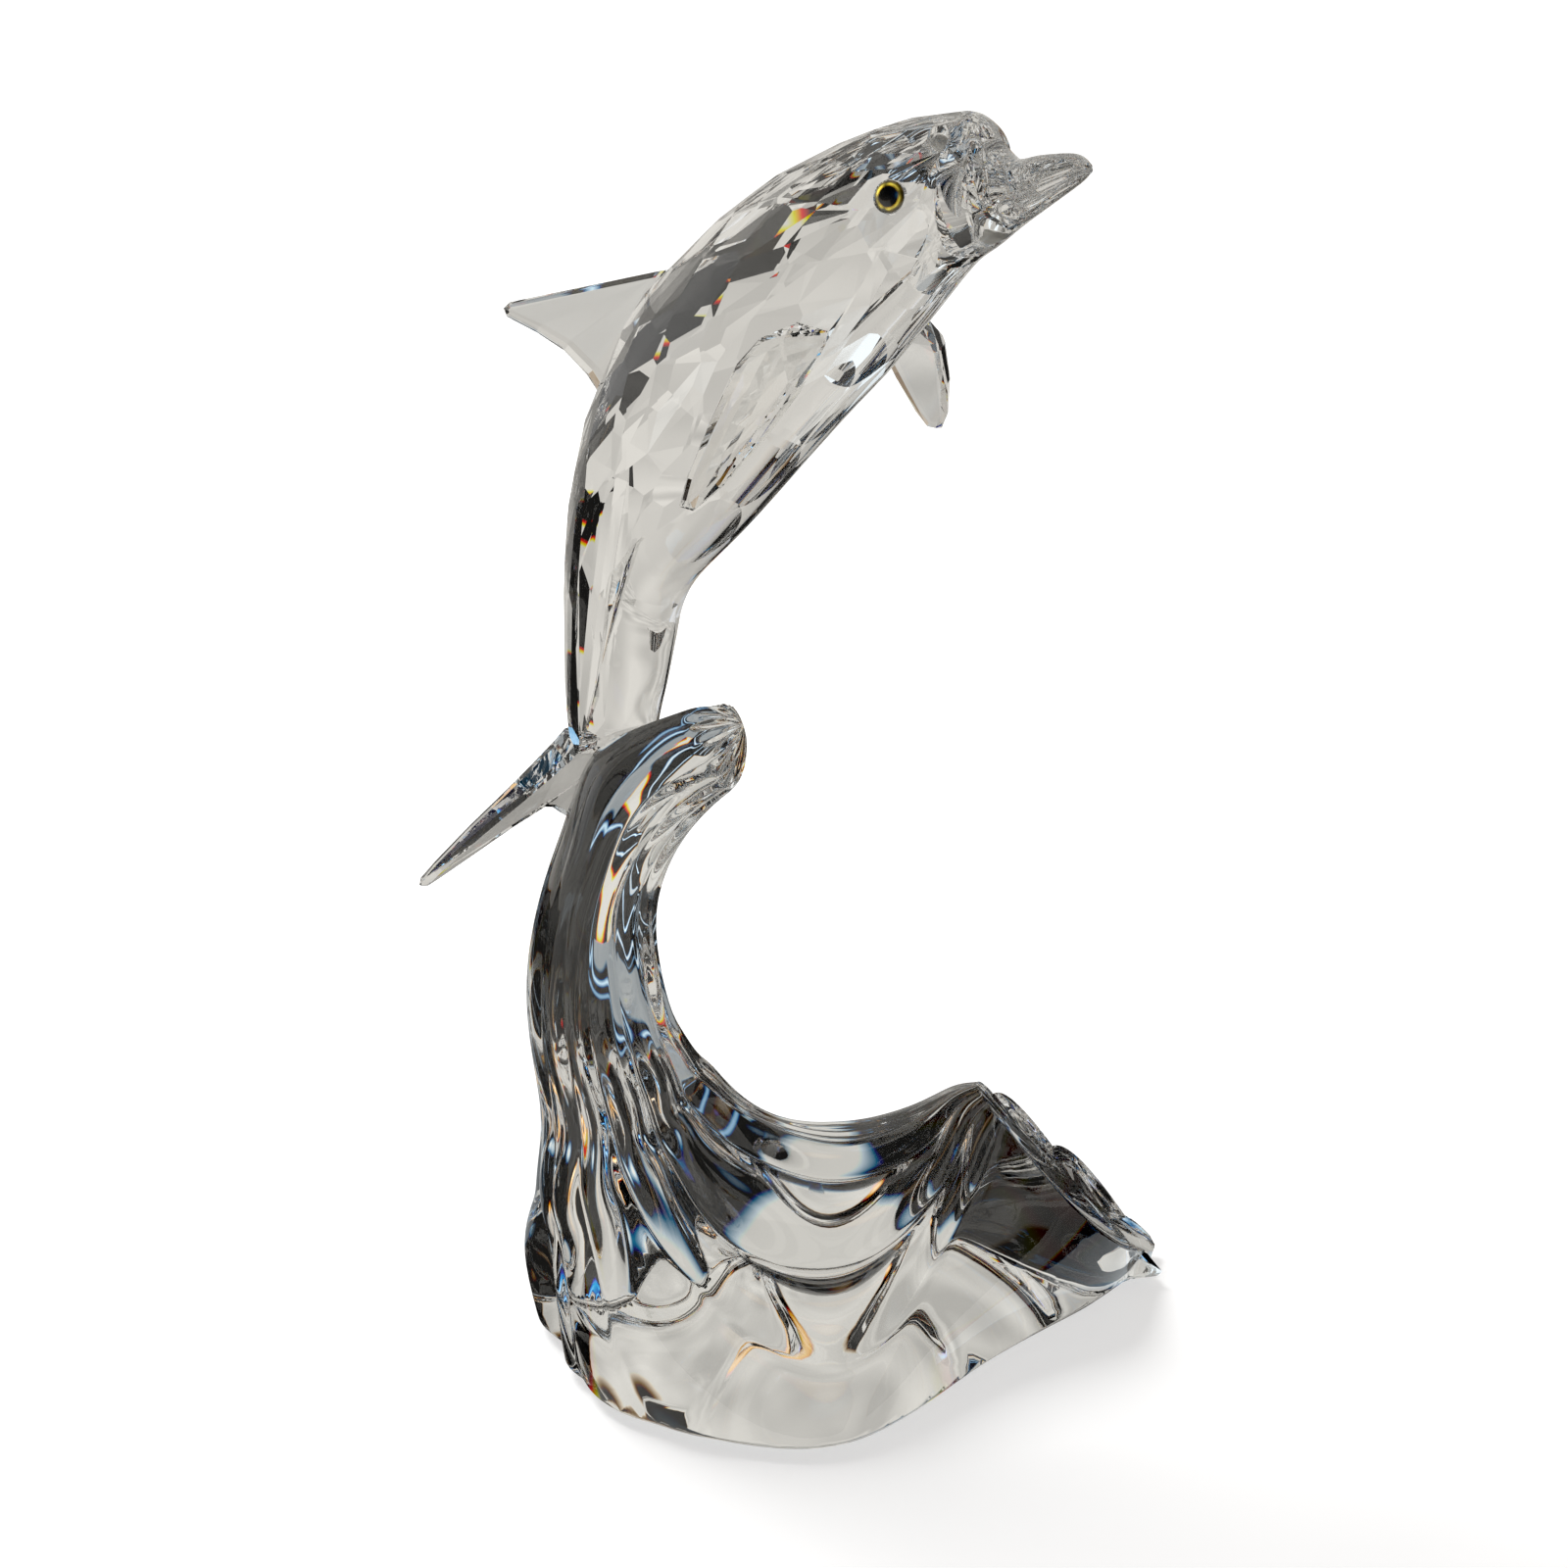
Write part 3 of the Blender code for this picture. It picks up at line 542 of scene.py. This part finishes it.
body = rolled(BODY_RINGS, BODY_SIDES,
              lambda along, round_share: body_point(
                  along * (len(BODY_STATIONS) - 1), round_share * 360 - 180, FACET_ALLOWANCE))
fluke_seat = body_point(FLUKE_STATION, 0) - body_normal(FLUKE_STATION, 0) * FLUKE_SEAT_SINK
trim(body, fluke_seat, FLUKE_RUN)
trim(body, crest_seat, -CREST_SEAT_UP)
for at, angle in facet_places():
    grind(body, body_point(at, angle), body_normal(at, angle), FACET_REACH)
dorsal_seat, dorsal_out = fin_seat(DORSAL_STATION, 0)
grind(body, dorsal_seat, dorsal_out, FIN_SEAT_REACH)
flipper_seat, flipper_out = fin_seat(FLIPPER_STATION, FLIPPER_ANGLE)
grind(body, flipper_seat, flipper_out, FIN_SEAT_REACH, every_island=True)
grind(body, mirrored(flipper_seat, True), mirrored(flipper_out), FIN_SEAT_REACH, every_island=True)
for side in (1, -1):
    beak_side = body_point(BEAK_FLAT_STATION, side * BEAK_FLAT_ANGLE)
    beak_out = body_normal(BEAK_FLAT_STATION, side * BEAK_FLAT_ANGLE)
    grind(body, beak_side - beak_out * BEAK_FLAT_SINK, beak_out, BEAK_FLAT_REACH)
# Lead crystal, polished on felt: dead clear, with each facet flat to the eye
cut_crystal = clear_glass("felt_polished_lead_crystal", "#F8F8F7", CRYSTAL_IOR,
                          POLISH_RIPPLE_SIZE, POLISH_RIPPLE_DEPTH)
body = finished("crystal_body", body, cut_crystal, "dolphin_body")


# Fins
# Blades sawn from the same crystal, their edges ground to bevels on both faces, and each
# one glued on a flat of the body.
FLIPPER_RUN = Vector((-0.10, -0.64, -0.76)).normalized()
FLIPPER_OUTLINE = (
    (-4.0, 3.0), (1.5, 4.9), (9.0, 5.2), (17.0, 4.4), (25.0, 2.8), (29.0, 1.2),
)
FLIPPER_SWEEP = 2.0 * MM
FLIPPER_THICK = 3.8 * MM
FLIPPER_TIP_THICK = 1.5 * MM
FLIPPER_BEVEL = 1.7 * MM
SHOULDER_PLACE = 6.0 * MM
SHOULDER_TILT = math.radians(25)
SHOULDER_RISE = 0.8
SHOULDER_STEP = 0.5 * MM
# The band of notches down the near flipper, every other one shallow
BAND_START = 5.0 * MM
BAND_PITCH = 1.9 * MM
BAND_NOTCHES = 11
BAND_WIDTH = 2.4 * MM
BAND_DEPTH = 0.38 * MM
BAND_SHALLOW_SHARE = 0.3
DORSAL_OUTLINE = (
    (-1.9, 12.9), (1.5, 9.8), (20.9, -10.4), (21.4, -11.9), (20.3, -12.6),
    (14.6, -11.0), (9.1, -10.0), (4.0, -10.4), (-0.3, -11.8), (-5.9, -10.9),
)
DORSAL_ROOT_THICK = 3.8 * MM
DORSAL_TIP_THICK = 1.5 * MM
DORSAL_BEVEL = 1.4 * MM
FLUKE_OUTLINE = (
    (-2.0, 4.6), (3.0, 5.4), (10.0, 9.2), (18.0, 14.4), (25.0, 18.0), (29.0, 19.2),
    (29.8, 18.2), (28.0, 15.6), (24.0, 10.2), (20.0, 5.0), (17.6, 0.0),
)
FLUKE_ROOT_THICK = 4.4 * MM
FLUKE_TIP_THICK = 1.6 * MM
FLUKE_BEVEL = 1.2 * MM
ARRIS = 0.12 * MM


def blade(outline, root_thick, tip_thick, bevel, point, run, chord, seat_out):
    """A sawn blade that thins from root to tip, bevelled all round and cut to its seat."""
    across = run.cross(chord).normalized()
    length = max(math.hypot(u, v) for u, v in outline)
    bm = bmesh.new()
    face = bm.faces.new([bm.verts.new(point + run * u + chord * v) for u, v in outline])
    raised = bmesh.ops.extrude_face_region(bm, geom=[face])
    top = {v for v in raised["geom"] if isinstance(v, bmesh.types.BMVert)}
    for vert in bm.verts:
        away = vert.co - point
        share = min(math.hypot(max(away.dot(run), 0), away.dot(chord)) / length, 1)
        thick = root_thick + (tip_thick - root_thick) * share
        vert.co += across * thick * (0.5 if vert in top else -0.5)
    bmesh.ops.recalc_face_normals(bm, faces=bm.faces)
    rims = [e for e in bm.edges if (e.verts[0] in top) == (e.verts[1] in top)]
    bmesh.ops.bevel(bm, geom=rims, offset=bevel, segments=1, affect="EDGES", profile=0.5,
                    material=-1, clamp_overlap=True)
    bmesh.ops.bevel(bm, geom=bm.edges[:], offset=ARRIS, segments=1, affect="EDGES", profile=0.5,
                    material=-1, clamp_overlap=True)
    trim(bm, point + seat_out * GLUE, -seat_out)
    return bm


def outer_way(run, chord, seat_out):
    """The way out of a flipper's outer face."""
    across = run.cross(chord).normalized()
    return across if across.dot(seat_out) > 0 else -across


def shoulder(bm, point, run, chord, seat_out):
    """Grinds two facets that meet in a point at the outer shoulder of a flipper."""
    across = outer_way(run, chord, seat_out)
    top = point + run * SHOULDER_PLACE + across * FLIPPER_THICK / 2
    for side in (1, -1):
        lean = (chord * side - run * SHOULDER_RISE).normalized()
        outward = across * math.cos(SHOULDER_TILT) + lean * math.sin(SHOULDER_TILT)
        trim(bm, top + lean * SHOULDER_STEP, outward)


def notch_band(bm, point, run, chord, seat_out):
    """Cuts a band of small notches down the middle of a flipper's outer face."""
    across = outer_way(run, chord, seat_out)
    bm.normal_update()
    outer = [f for f in bm.faces if f.normal.dot(across) > 0.99 and f.calc_area() > MM * MM]
    lines = [(point + run * (BAND_START + k * BAND_PITCH), run) for k in range(BAND_NOTCHES + 1)]
    lines += [(point + chord * BAND_WIDTH * share, chord) for share in (-0.5, 0, 0.5)]
    for place, normal in lines:
        edges = each_once(e for f in outer for e in f.edges)
        verts = each_once(v for f in outer for v in f.verts)
        cut = bmesh.ops.bisect_plane(bm, geom=outer + edges + verts, dist=1e-7,
                                     plane_co=place, plane_no=normal)
        outer = [g for g in cut["geom"] if isinstance(g, bmesh.types.BMFace)]
    for vert in each_once(v for f in outer for v in f.verts):
        away = vert.co - point
        step = (away.dot(run) - BAND_START) / BAND_PITCH
        in_line = abs(away.dot(chord)) < 0.01 * MM and abs(step - round(step)) < 0.01
        if in_line and 0 < step < BAND_NOTCHES:
            share = 1 if round(step) % 2 else BAND_SHALLOW_SHARE
            vert.co -= across * BAND_DEPTH * share


dorsal = blade([(u * MM, v * MM) for u, v in DORSAL_OUTLINE], DORSAL_ROOT_THICK, DORSAL_TIP_THICK,
               DORSAL_BEVEL, dorsal_seat, dorsal_out, Vector((dorsal_out.z, 0, -dorsal_out.x)),
               dorsal_out)
finished("crystal_dorsal_fin", dorsal, cut_crystal, "dorsal_fin")

reach = FLIPPER_OUTLINE[-1][0]
leading = [(u * MM, half * MM - FLIPPER_SWEEP * (u / reach) ** 2) for u, half in FLIPPER_OUTLINE]
trailing = [(u * MM, -half * MM - FLIPPER_SWEEP * (u / reach) ** 2) for u, half in FLIPPER_OUTLINE]
flipper_outline = leading + trailing[::-1]
forward = (Vector((1, 0, 0)) - FLIPPER_RUN * FLIPPER_RUN.x).normalized()
right = blade(flipper_outline, FLIPPER_THICK, FLIPPER_TIP_THICK, FLIPPER_BEVEL, flipper_seat,
              FLIPPER_RUN, forward, flipper_out)
shoulder(right, flipper_seat, FLIPPER_RUN, forward, flipper_out)
notch_band(right, flipper_seat, FLIPPER_RUN, forward, flipper_out)
finished("crystal_right_flipper", right, cut_crystal, "right_flipper")
left = blade(flipper_outline, FLIPPER_THICK, FLIPPER_TIP_THICK, FLIPPER_BEVEL,
             mirrored(flipper_seat, True), mirrored(FLIPPER_RUN), mirrored(forward),
             mirrored(flipper_out))
shoulder(left, mirrored(flipper_seat, True), mirrored(FLIPPER_RUN), mirrored(forward),
         mirrored(flipper_out))
finished("crystal_left_flipper", left, cut_crystal, "left_flipper")

half_fluke = [(u * MM, v * MM) for u, v in FLUKE_OUTLINE]
fluke_outline = half_fluke + [(u, -v) for u, v in half_fluke[-2::-1]]
fluke = blade(fluke_outline, FLUKE_ROOT_THICK, FLUKE_TIP_THICK, FLUKE_BEVEL, fluke_seat, FLUKE_RUN,
              Vector((0, 1, 0)), FLUKE_RUN)
finished("crystal_fluke", fluke, cut_crystal, "tail_fluke")


# Eyes
# Small glass buttons, gold foil behind a domed face with a black pupil, each glued into a
# shallow socket on the side of the head.
EYE_DOME = 0.5 * MM
EYE_DOME_STEPS = 15
EYE_SPIN_STEPS = 48
DRILL_TOP = 2.0 * MM
PUPIL_SHARE = 0.64
RING_SHARE = 0.86
# Where the eye's hidden faces lie on its UV map: past the rim, in the foil's silver back
HIDDEN_PLACE = (2, 2)
# Painted glints and shade on the gold foil: the size of their patches, and how dark and bright the colour
# is painted in them
FOIL_GLINT_PATCH = 1.75 * MM
FOIL_PAINTED_GLINT_TONES = (0.4, 2.4)


def eye_material():
    """Fired enamel under clear glass: a black pupil, a gold ring with painted glints and shade in patches,
    a dark rim.
    """
    material = bpy.data.materials.new("fired_enamel")
    material.use_nodes = True
    tree = material.node_tree
    shader = tree.nodes["Principled BSDF"]
    face = add(tree, "ShaderNodeUVMap", uv_map="eye_face")
    centred = add(tree, "ShaderNodeVectorMath", {0: face.outputs["UV"], 1: (0.5, 0.5, 0)},
                  operation="SUBTRACT")
    radius = add(tree, "ShaderNodeVectorMath", {0: centred.outputs[0]}, operation="LENGTH")
    rings = add(tree, "ShaderNodeValToRGB", {"Fac": radius.outputs["Value"]})
    bands = ((0.0, "#050505"), (PUPIL_SHARE / 2 - 0.01, "#070706"),
             (PUPIL_SHARE / 2 + 0.01, "#A5841A"), (RING_SHARE / 2 - 0.045, "#F6E25C"),
             (RING_SHARE / 2, "#6B5A12"), (0.5, "#12110A"), (0.6, "#B9B7B2"))
    ramp = rings.color_ramp
    for place, code in bands:
        step = ramp.elements.new(place)
        step.color = (*linear(code), 1)
    ramp.elements.remove(ramp.elements[0])
    ramp.elements.remove(ramp.elements[-1])
    # Painted glints: a noise darkens and brightens the ring's colour in patches, standing in for light
    # caught by the foil
    foil = add(tree, "ShaderNodeTexNoise", {"Vector": centred.outputs[0], "Detail": 1.0,
                                            "Scale": 2 * EYE_RADIUS / FOIL_GLINT_PATCH})
    glint_tone = add(tree, "ShaderNodeMapRange",
                 {"Value": foil.outputs["Fac"], "From Min": 0.4, "From Max": 0.6,
                  "To Min": FOIL_PAINTED_GLINT_TONES[0], "To Max": FOIL_PAINTED_GLINT_TONES[1]})
    lit = add(tree, "ShaderNodeVectorMath", {0: rings.outputs["Color"], "Scale": glint_tone.outputs["Result"]},
              operation="SCALE")
    tree.links.new(lit.outputs[0], shader.inputs["Base Color"])
    shader.inputs["Roughness"].default_value = 0.25
    shader.inputs["Coat Weight"].default_value = 1
    shader.inputs["Coat Roughness"].default_value = 0.02
    return material


enamel = eye_material()
for name, side in (("right_eye", 1), ("left_eye", -1)):
    quarter = [math.radians(90 * k / EYE_DOME_STEPS) for k in range(EYE_DOME_STEPS + 1)]
    dome = [(EYE_RADIUS * math.sin(turn), EYE_DOME * math.cos(turn)) for turn in quarter]
    eye = spun(dome + [(EYE_RADIUS, -EYE_DEPTH), (0, -EYE_DEPTH)], EYE_SPIN_STEPS)
    sheet = eye.loops.layers.uv.new("eye_face")
    for face in eye.faces:
        for corner in face.loops:
            place = corner.vert.co / (2 * EYE_RADIUS)
            hidden = all(vert.co.z < EYE_DOME / 9 for vert in face.verts)
            corner[sheet].uv = HIDDEN_PLACE if hidden else (place.x + 0.5, place.y + 0.5)
    spot = body_point(EYE_STATION, EYE_ANGLE)
    outward = body_normal(EYE_STATION, EYE_ANGLE)
    if side < 0:
        spot = mirrored(spot, True)
        outward = mirrored(outward)
    stand = Matrix.Translation(spot) @ outward.to_track_quat("Z", "Y").to_matrix().to_4x4()
    drill_radius = EYE_RADIUS + EYE_CLEARANCE
    drill_foot = -EYE_DEPTH - EYE_CLEARANCE
    socket = spun([(0, DRILL_TOP), (drill_radius, DRILL_TOP), (drill_radius, drill_foot),
                   (0, drill_foot)], EYE_SPIN_STEPS)
    bmesh.ops.transform(socket, matrix=stand, verts=socket.verts)
    mesh = bpy.data.meshes.new(f"{name}_drill")
    socket.to_mesh(mesh)
    socket.free()
    drill = bpy.data.objects.new(f"{name}_drill", mesh)
    bpy.context.scene.collection.objects.link(drill)
    drill.hide_render = True
    sunk = body.modifiers.new(f"{name}_socket", "BOOLEAN")
    sunk.object = drill
    sunk.operation = "DIFFERENCE"
    bmesh.ops.transform(eye, matrix=stand, verts=eye.verts)
    finished(f"enamel_{name}", eye, enamel, name)


# Studio
# A white paper floor and a light tent, lit by one soft lamp. The crystal shows what stands
# round it: grey paper, black cards laid on it, and dark gaps and bright cards in the tent.
CAMERA_AZIMUTH = math.radians(35)
CAMERA_ELEVATION = math.radians(19)
CAMERA_DISTANCE = 0.45
CAMERA_LENS = 72.0
CAMERA_SENSOR = 36
CAMERA_TARGET = footprint + Vector((0, 0, 0.1))
to_camera = Vector((math.sin(CAMERA_AZIMUTH) * math.cos(CAMERA_ELEVATION),
                    -math.cos(CAMERA_AZIMUTH) * math.cos(CAMERA_ELEVATION),
                    math.sin(CAMERA_ELEVATION)))
camera = bpy.data.objects.new("camera", bpy.data.cameras.new("camera"))
bpy.context.scene.collection.objects.link(camera)
camera.location = CAMERA_TARGET + to_camera * CAMERA_DISTANCE
camera.rotation_euler = to_camera.to_track_quat("Z", "Y").to_euler()
camera.data.sensor_width = CAMERA_SENSOR
camera.data.lens = CAMERA_LENS
camera.data.clip_start = 0.01
bpy.context.scene.camera = camera
to_right = Vector((math.cos(CAMERA_AZIMUTH), math.sin(CAMERA_AZIMUTH), 0))
to_top = to_camera.cross(to_right)
to_back = to_right.cross(Vector((0, 0, -1)))

BACKDROP = "#D5D2CC"
CARD_PAPER = "#CDD4D8"
WHITE_CARD = "#FFFFFF"
# Each card in the air: place (right, up, towards the camera), half width in degrees,
# brightness, and how far red, green and blue are set apart at the card's edge, a painted rainbow fringe
# that stands in for the glass's dispersion
CARDS = (
    ((1.0, 0.35, 0.0), 9, 1.8, 0.004),
    ((0.2, 1.0, -0.1), 8, 1.4, -0.004),
    ((-0.90, -0.05, -0.30), 30, 0.95, 0.004),
    ((-0.6, 0.1, 1.0), 7, 1.6, 0.004),
    ((0.5, 0.7, 0.8), 9, 1.8, -0.004),
    ((0.1, -0.8, 0.8), 12, 1.1, 0.004),
    ((-0.35, 0.75, 0.45), 8, 2.0, 0.004),
)
# Each gap in the tent: place and half width in degrees
GAPS = (
    ((0.0, 0.1, 1.0), 50),
    ((-1.0, 0.5, 0.7), 26),
    ((1.0, 0.1, -0.2), 38),
    ((0.38, 0.24, -0.85), 13),
    ((0.1, 1.0, 0.25), 24),
)
# Cards laid on the paper: from and to, right of the crystal and behind it, in metres
BLACK_CARDS = (
    ((-0.50, 0.03), (-0.02, 0.17)),
    ((-0.50, -0.085), (0.16, 0.32)),
    ((-0.065, 0.03), (0.16, 0.22)),
    ((0.02, 0.40), (-0.02, 0.31)),
    ((0.25, 0.90), (0.30, 1.50)),
)
# How much of the paper's light a black card still gives
BLACK_CARD = 0.015
# Pale cards on the paper, with their brightness
PALE_CARDS = (
    ((-0.68, -0.33), (-0.27, -0.10), 1.8),
    ((-0.090, -0.053), (0.030, 0.170), 0.55),
    ((-0.043, -0.040), (0.03, 0.12), 1.2),
    ((-0.096, -0.093), (0.03, 0.12), 0.8),
    ((-0.050, -0.046), (0.05, 0.25), 1.4),
    ((-0.108, -0.102), (0.04, 0.30), 1.4),
    ((-0.136, -0.131), (0.04, 0.30), 1.8),
    ((-0.172, -0.162), (0.04, 0.30), 1.1),
    ((-0.206, -0.200), (0.04, 0.30), 1.8),
    ((0.045, 0.080), (-0.020, 0.030), 1.5),
    ((0.120, 0.128), (-0.020, 0.060), 1.5),
)
# Pale discs on the paper: centre right and behind, radius, brightness
PALE_DISCS = (
    ((-0.010, 0.034), 0.017, 1.0),
    ((-0.040, 0.012), 0.005, 1.4),
)
# The grey of paper and tent drifts softly, over this size in metres and between these shares
TONE_SIZE = 0.24
TENT_TONE_SCALE = 2.5
TONE_RANGE = (0.78, 1.18)
# How sharp the edges are, and how far red, green and blue part there in a painted rainbow fringe that
# stands in for the glass's dispersion: in metres for cards
PATCH_STEEPNESS = 60.0
GAP_FRINGE = 0.002
CARD_STEEPNESS = 500.0
BLACK_CARD_FRINGE = 0.002
PALE_CARD_FRINGE = 0.0003
DISC_STEEPNESS = 300.0
DISC_FRINGE = 0.0005
# What the camera sees of the paper: a matt grey, and a glow that reaches white further out
PAPER_GREY = (0.45, 0.45, 0.45, 1)
GLOW_REACH = (0.1, 0.5)
GLOW = (0.6, 1.0)
FLOOR_RADIUS = 4.0
FLOOR_SIDES = 96
LAMP_PLACE = (-0.5, 0.9, -0.15)
LAMP_DISTANCE = 0.9
LAMP_SIZE = 0.5
LAMP_POWER = 11.0
LIGHT_BOUNCES = 24
GLOSSY_BOUNCES = 12


def studio_way(place):
    """A direction given as right, up and towards the camera."""
    return (to_right * place[0] + to_top * place[1] + to_camera * place[2]).normalized()


def ramped(tree, over, steepness):
    """Clamps a ramp to a mask from 0 to 1."""
    steep = add(tree, "ShaderNodeVectorMath", {0: over, "Scale": steepness}, operation="SCALE")
    floor = add(tree, "ShaderNodeVectorMath", {0: steep.outputs[0], 1: (0, 0, 0)}, operation="MAXIMUM")
    return add(tree, "ShaderNodeVectorMath", {0: floor.outputs[0], 1: (1, 1, 1)},
               operation="MINIMUM").outputs[0]


def patch(tree, way, place, half_width, spread):
    """A round patch of the tent, its rim a little apart for red, green and blue."""
    aim = add(tree, "ShaderNodeVectorMath", {0: way, 1: studio_way(place)}, operation="DOT_PRODUCT")
    rim = math.cos(math.radians(half_width))
    over = add(tree, "ShaderNodeVectorMath",
               {0: aim.outputs["Value"], 1: (rim + spread, rim, rim - spread)}, operation="SUBTRACT")
    return ramped(tree, over.outputs[0], PATCH_STEEPNESS)


def strip(tree, place, axis, low, high, spread):
    """A strip of the paper between two distances along an axis."""
    along = add(tree, "ShaderNodeVectorMath", {0: place, 1: axis}, operation="DOT_PRODUCT")
    past = add(tree, "ShaderNodeVectorMath",
               {0: along.outputs["Value"], 1: (low + spread, low, low - spread)}, operation="SUBTRACT")
    short = add(tree, "ShaderNodeVectorMath",
                {0: (high - spread, high, high + spread), 1: along.outputs["Value"]}, operation="SUBTRACT")
    return add(tree, "ShaderNodeVectorMath", {0: ramped(tree, past.outputs[0], CARD_STEEPNESS),
                                              1: ramped(tree, short.outputs[0], CARD_STEEPNESS)},
               operation="MULTIPLY").outputs[0]


def card_on_paper(tree, place, right_range, away_range, fringe):
    """Where a card lies on the paper."""
    return add(tree, "ShaderNodeVectorMath", {0: strip(tree, place, to_right, *right_range, fringe),
                                              1: strip(tree, place, to_back, *away_range, fringe)},
               operation="MULTIPLY").outputs[0]


def toned(tree, colour, place, scale, detail):
    """A colour that drifts softly in tone from place to place."""
    cloud = add(tree, "ShaderNodeTexNoise", {"Vector": place, "Scale": scale, "Detail": detail})
    tone = add(tree, "ShaderNodeMapRange",
               {"Value": cloud.outputs["Fac"], "From Min": 0.3, "From Max": 0.7,
                "To Min": TONE_RANGE[0], "To Max": TONE_RANGE[1]})
    base = add(tree, "ShaderNodeRGB").outputs[0]
    base.default_value = (*linear(colour), 1)
    return add(tree, "ShaderNodeVectorMath", {0: base, 1: tone.outputs["Result"]},
               operation="MULTIPLY").outputs[0]


def dark_over(tree, cover, mask, left):
    """Darkens what is there inside a mask, down to the share that is left of it."""
    dim = add(tree, "ShaderNodeVectorMath", {0: mask, 1: (left - 1,) * 3, 2: (1, 1, 1)},
              operation="MULTIPLY_ADD")
    return add(tree, "ShaderNodeVectorMath", {0: cover, 1: dim.outputs[0]},
               operation="MULTIPLY").outputs[0]


def lit_over(tree, cover, mask, colour, brightness):
    """Lays something pale over what is there."""
    light = add(tree, "ShaderNodeVectorMath", {0: mask, 1: [c * brightness for c in linear(colour)]},
                operation="MULTIPLY")
    return add(tree, "ShaderNodeVectorMath", {0: cover, 1: light.outputs[0]},
               operation="MAXIMUM").outputs[0]


# White cloth to the camera. The crystal sees it grey, with the gaps and the cards in it
world = bpy.data.worlds.new("light_tent")
world.use_nodes = True
bpy.context.scene.world = world
tree = world.node_tree
tree.nodes.clear()
way = add(tree, "ShaderNodeTexCoord").outputs["Generated"]
tent = toned(tree, BACKDROP, way, TENT_TONE_SCALE, 1.0)
for place, half_width in GAPS:
    tent = dark_over(tree, tent, patch(tree, way, place, half_width, GAP_FRINGE), 0)
for place, half_width, brightness, spread in CARDS:
    tent = lit_over(tree, tent, patch(tree, way, place, half_width, spread), WHITE_CARD, brightness)
rays = add(tree, "ShaderNodeLightPath")
seen = add(tree, "ShaderNodeMix", {"Factor": rays.outputs["Is Camera Ray"], 6: tent, 7: (1, 1, 1, 1)},
           data_type="RGBA")
sky = add(tree, "ShaderNodeBackground", {"Color": seen.outputs[2], "Strength": 1.0})
add(tree, "ShaderNodeOutputWorld", {"Surface": sky.outputs[0]})

bm = bmesh.new()
bmesh.ops.create_circle(bm, cap_ends=True, radius=FLOOR_RADIUS, segments=FLOOR_SIDES)
mesh = bpy.data.meshes.new("studio_floor")
bm.to_mesh(mesh)
bm.free()
studio_floor = bpy.data.objects.new("studio_floor", mesh)
bpy.context.scene.collection.objects.link(studio_floor)
# Matt paper: white to the camera, where it keeps the soft shadow, and grey with the cards on
# it to the crystal
paper = bpy.data.materials.new("matt_paper")
paper.use_nodes = True
tree = paper.node_tree
tree.nodes.clear()
rays = add(tree, "ShaderNodeLightPath")
place = add(tree, "ShaderNodeTexCoord").outputs["Object"]
cover = toned(tree, BACKDROP, place, 1 / TONE_SIZE, 0.0)
for right_range, away_range in BLACK_CARDS:
    card = card_on_paper(tree, place, right_range, away_range, BLACK_CARD_FRINGE)
    cover = dark_over(tree, cover, card, BLACK_CARD)
for right_range, away_range, brightness in PALE_CARDS:
    card = card_on_paper(tree, place, right_range, away_range, PALE_CARD_FRINGE)
    cover = lit_over(tree, cover, card, CARD_PAPER, brightness)
for (right_place, back_place), radius, brightness in PALE_DISCS:
    centre = to_right * right_place + to_back * back_place
    gap = add(tree, "ShaderNodeVectorMath", {0: place, 1: centre}, operation="DISTANCE")
    rim = (radius - DISC_FRINGE, radius, radius + DISC_FRINGE)
    inside = add(tree, "ShaderNodeVectorMath", {0: rim, 1: gap.outputs["Value"]},
                 operation="SUBTRACT")
    disc = ramped(tree, inside.outputs[0], DISC_STEEPNESS)
    cover = lit_over(tree, cover, disc, BACKDROP, brightness)
matt = add(tree, "ShaderNodeBsdfDiffuse", {"Color": PAPER_GREY})
away = add(tree, "ShaderNodeVectorMath", {0: place}, operation="LENGTH")
glow = add(tree, "ShaderNodeMapRange",
           {"Value": away.outputs["Value"], "From Min": GLOW_REACH[0], "From Max": GLOW_REACH[1],
            "To Min": GLOW[0], "To Max": GLOW[1]})
white = add(tree, "ShaderNodeEmission", {"Color": (1, 1, 1, 1), "Strength": glow.outputs["Result"]})
through_glass = add(tree, "ShaderNodeEmission", {"Color": cover, "Strength": 1.0})
for_camera = add(tree, "ShaderNodeAddShader", {0: matt.outputs[0], 1: white.outputs[0]})
both = add(tree, "ShaderNodeMixShader", {0: rays.outputs["Is Camera Ray"], 1: through_glass.outputs[0],
                                         2: for_camera.outputs[0]})
add(tree, "ShaderNodeOutputMaterial", {"Surface": both.outputs[0]})
mesh.materials.append(paper)

# One soft lamp above and behind, kept out of what the crystal mirrors
lamp = bpy.data.objects.new("key_softbox", bpy.data.lights.new("key_softbox", "AREA"))
bpy.context.scene.collection.objects.link(lamp)
lamp.data.shape = "DISK"
lamp.data.size = LAMP_SIZE
lamp.data.energy = LAMP_POWER
lamp.visible_glossy = False
lamp.visible_transmission = False
lamp_way = studio_way(LAMP_PLACE)
lamp.location = CAMERA_TARGET + lamp_way * LAMP_DISTANCE
lamp.rotation_euler = lamp_way.to_track_quat("Z", "Y").to_euler()

scene = bpy.context.scene
scene.view_settings.view_transform = "Standard"
scene.cycles.max_bounces = LIGHT_BOUNCES
scene.cycles.transmission_bounces = LIGHT_BOUNCES
scene.cycles.glossy_bounces = GLOSSY_BOUNCES
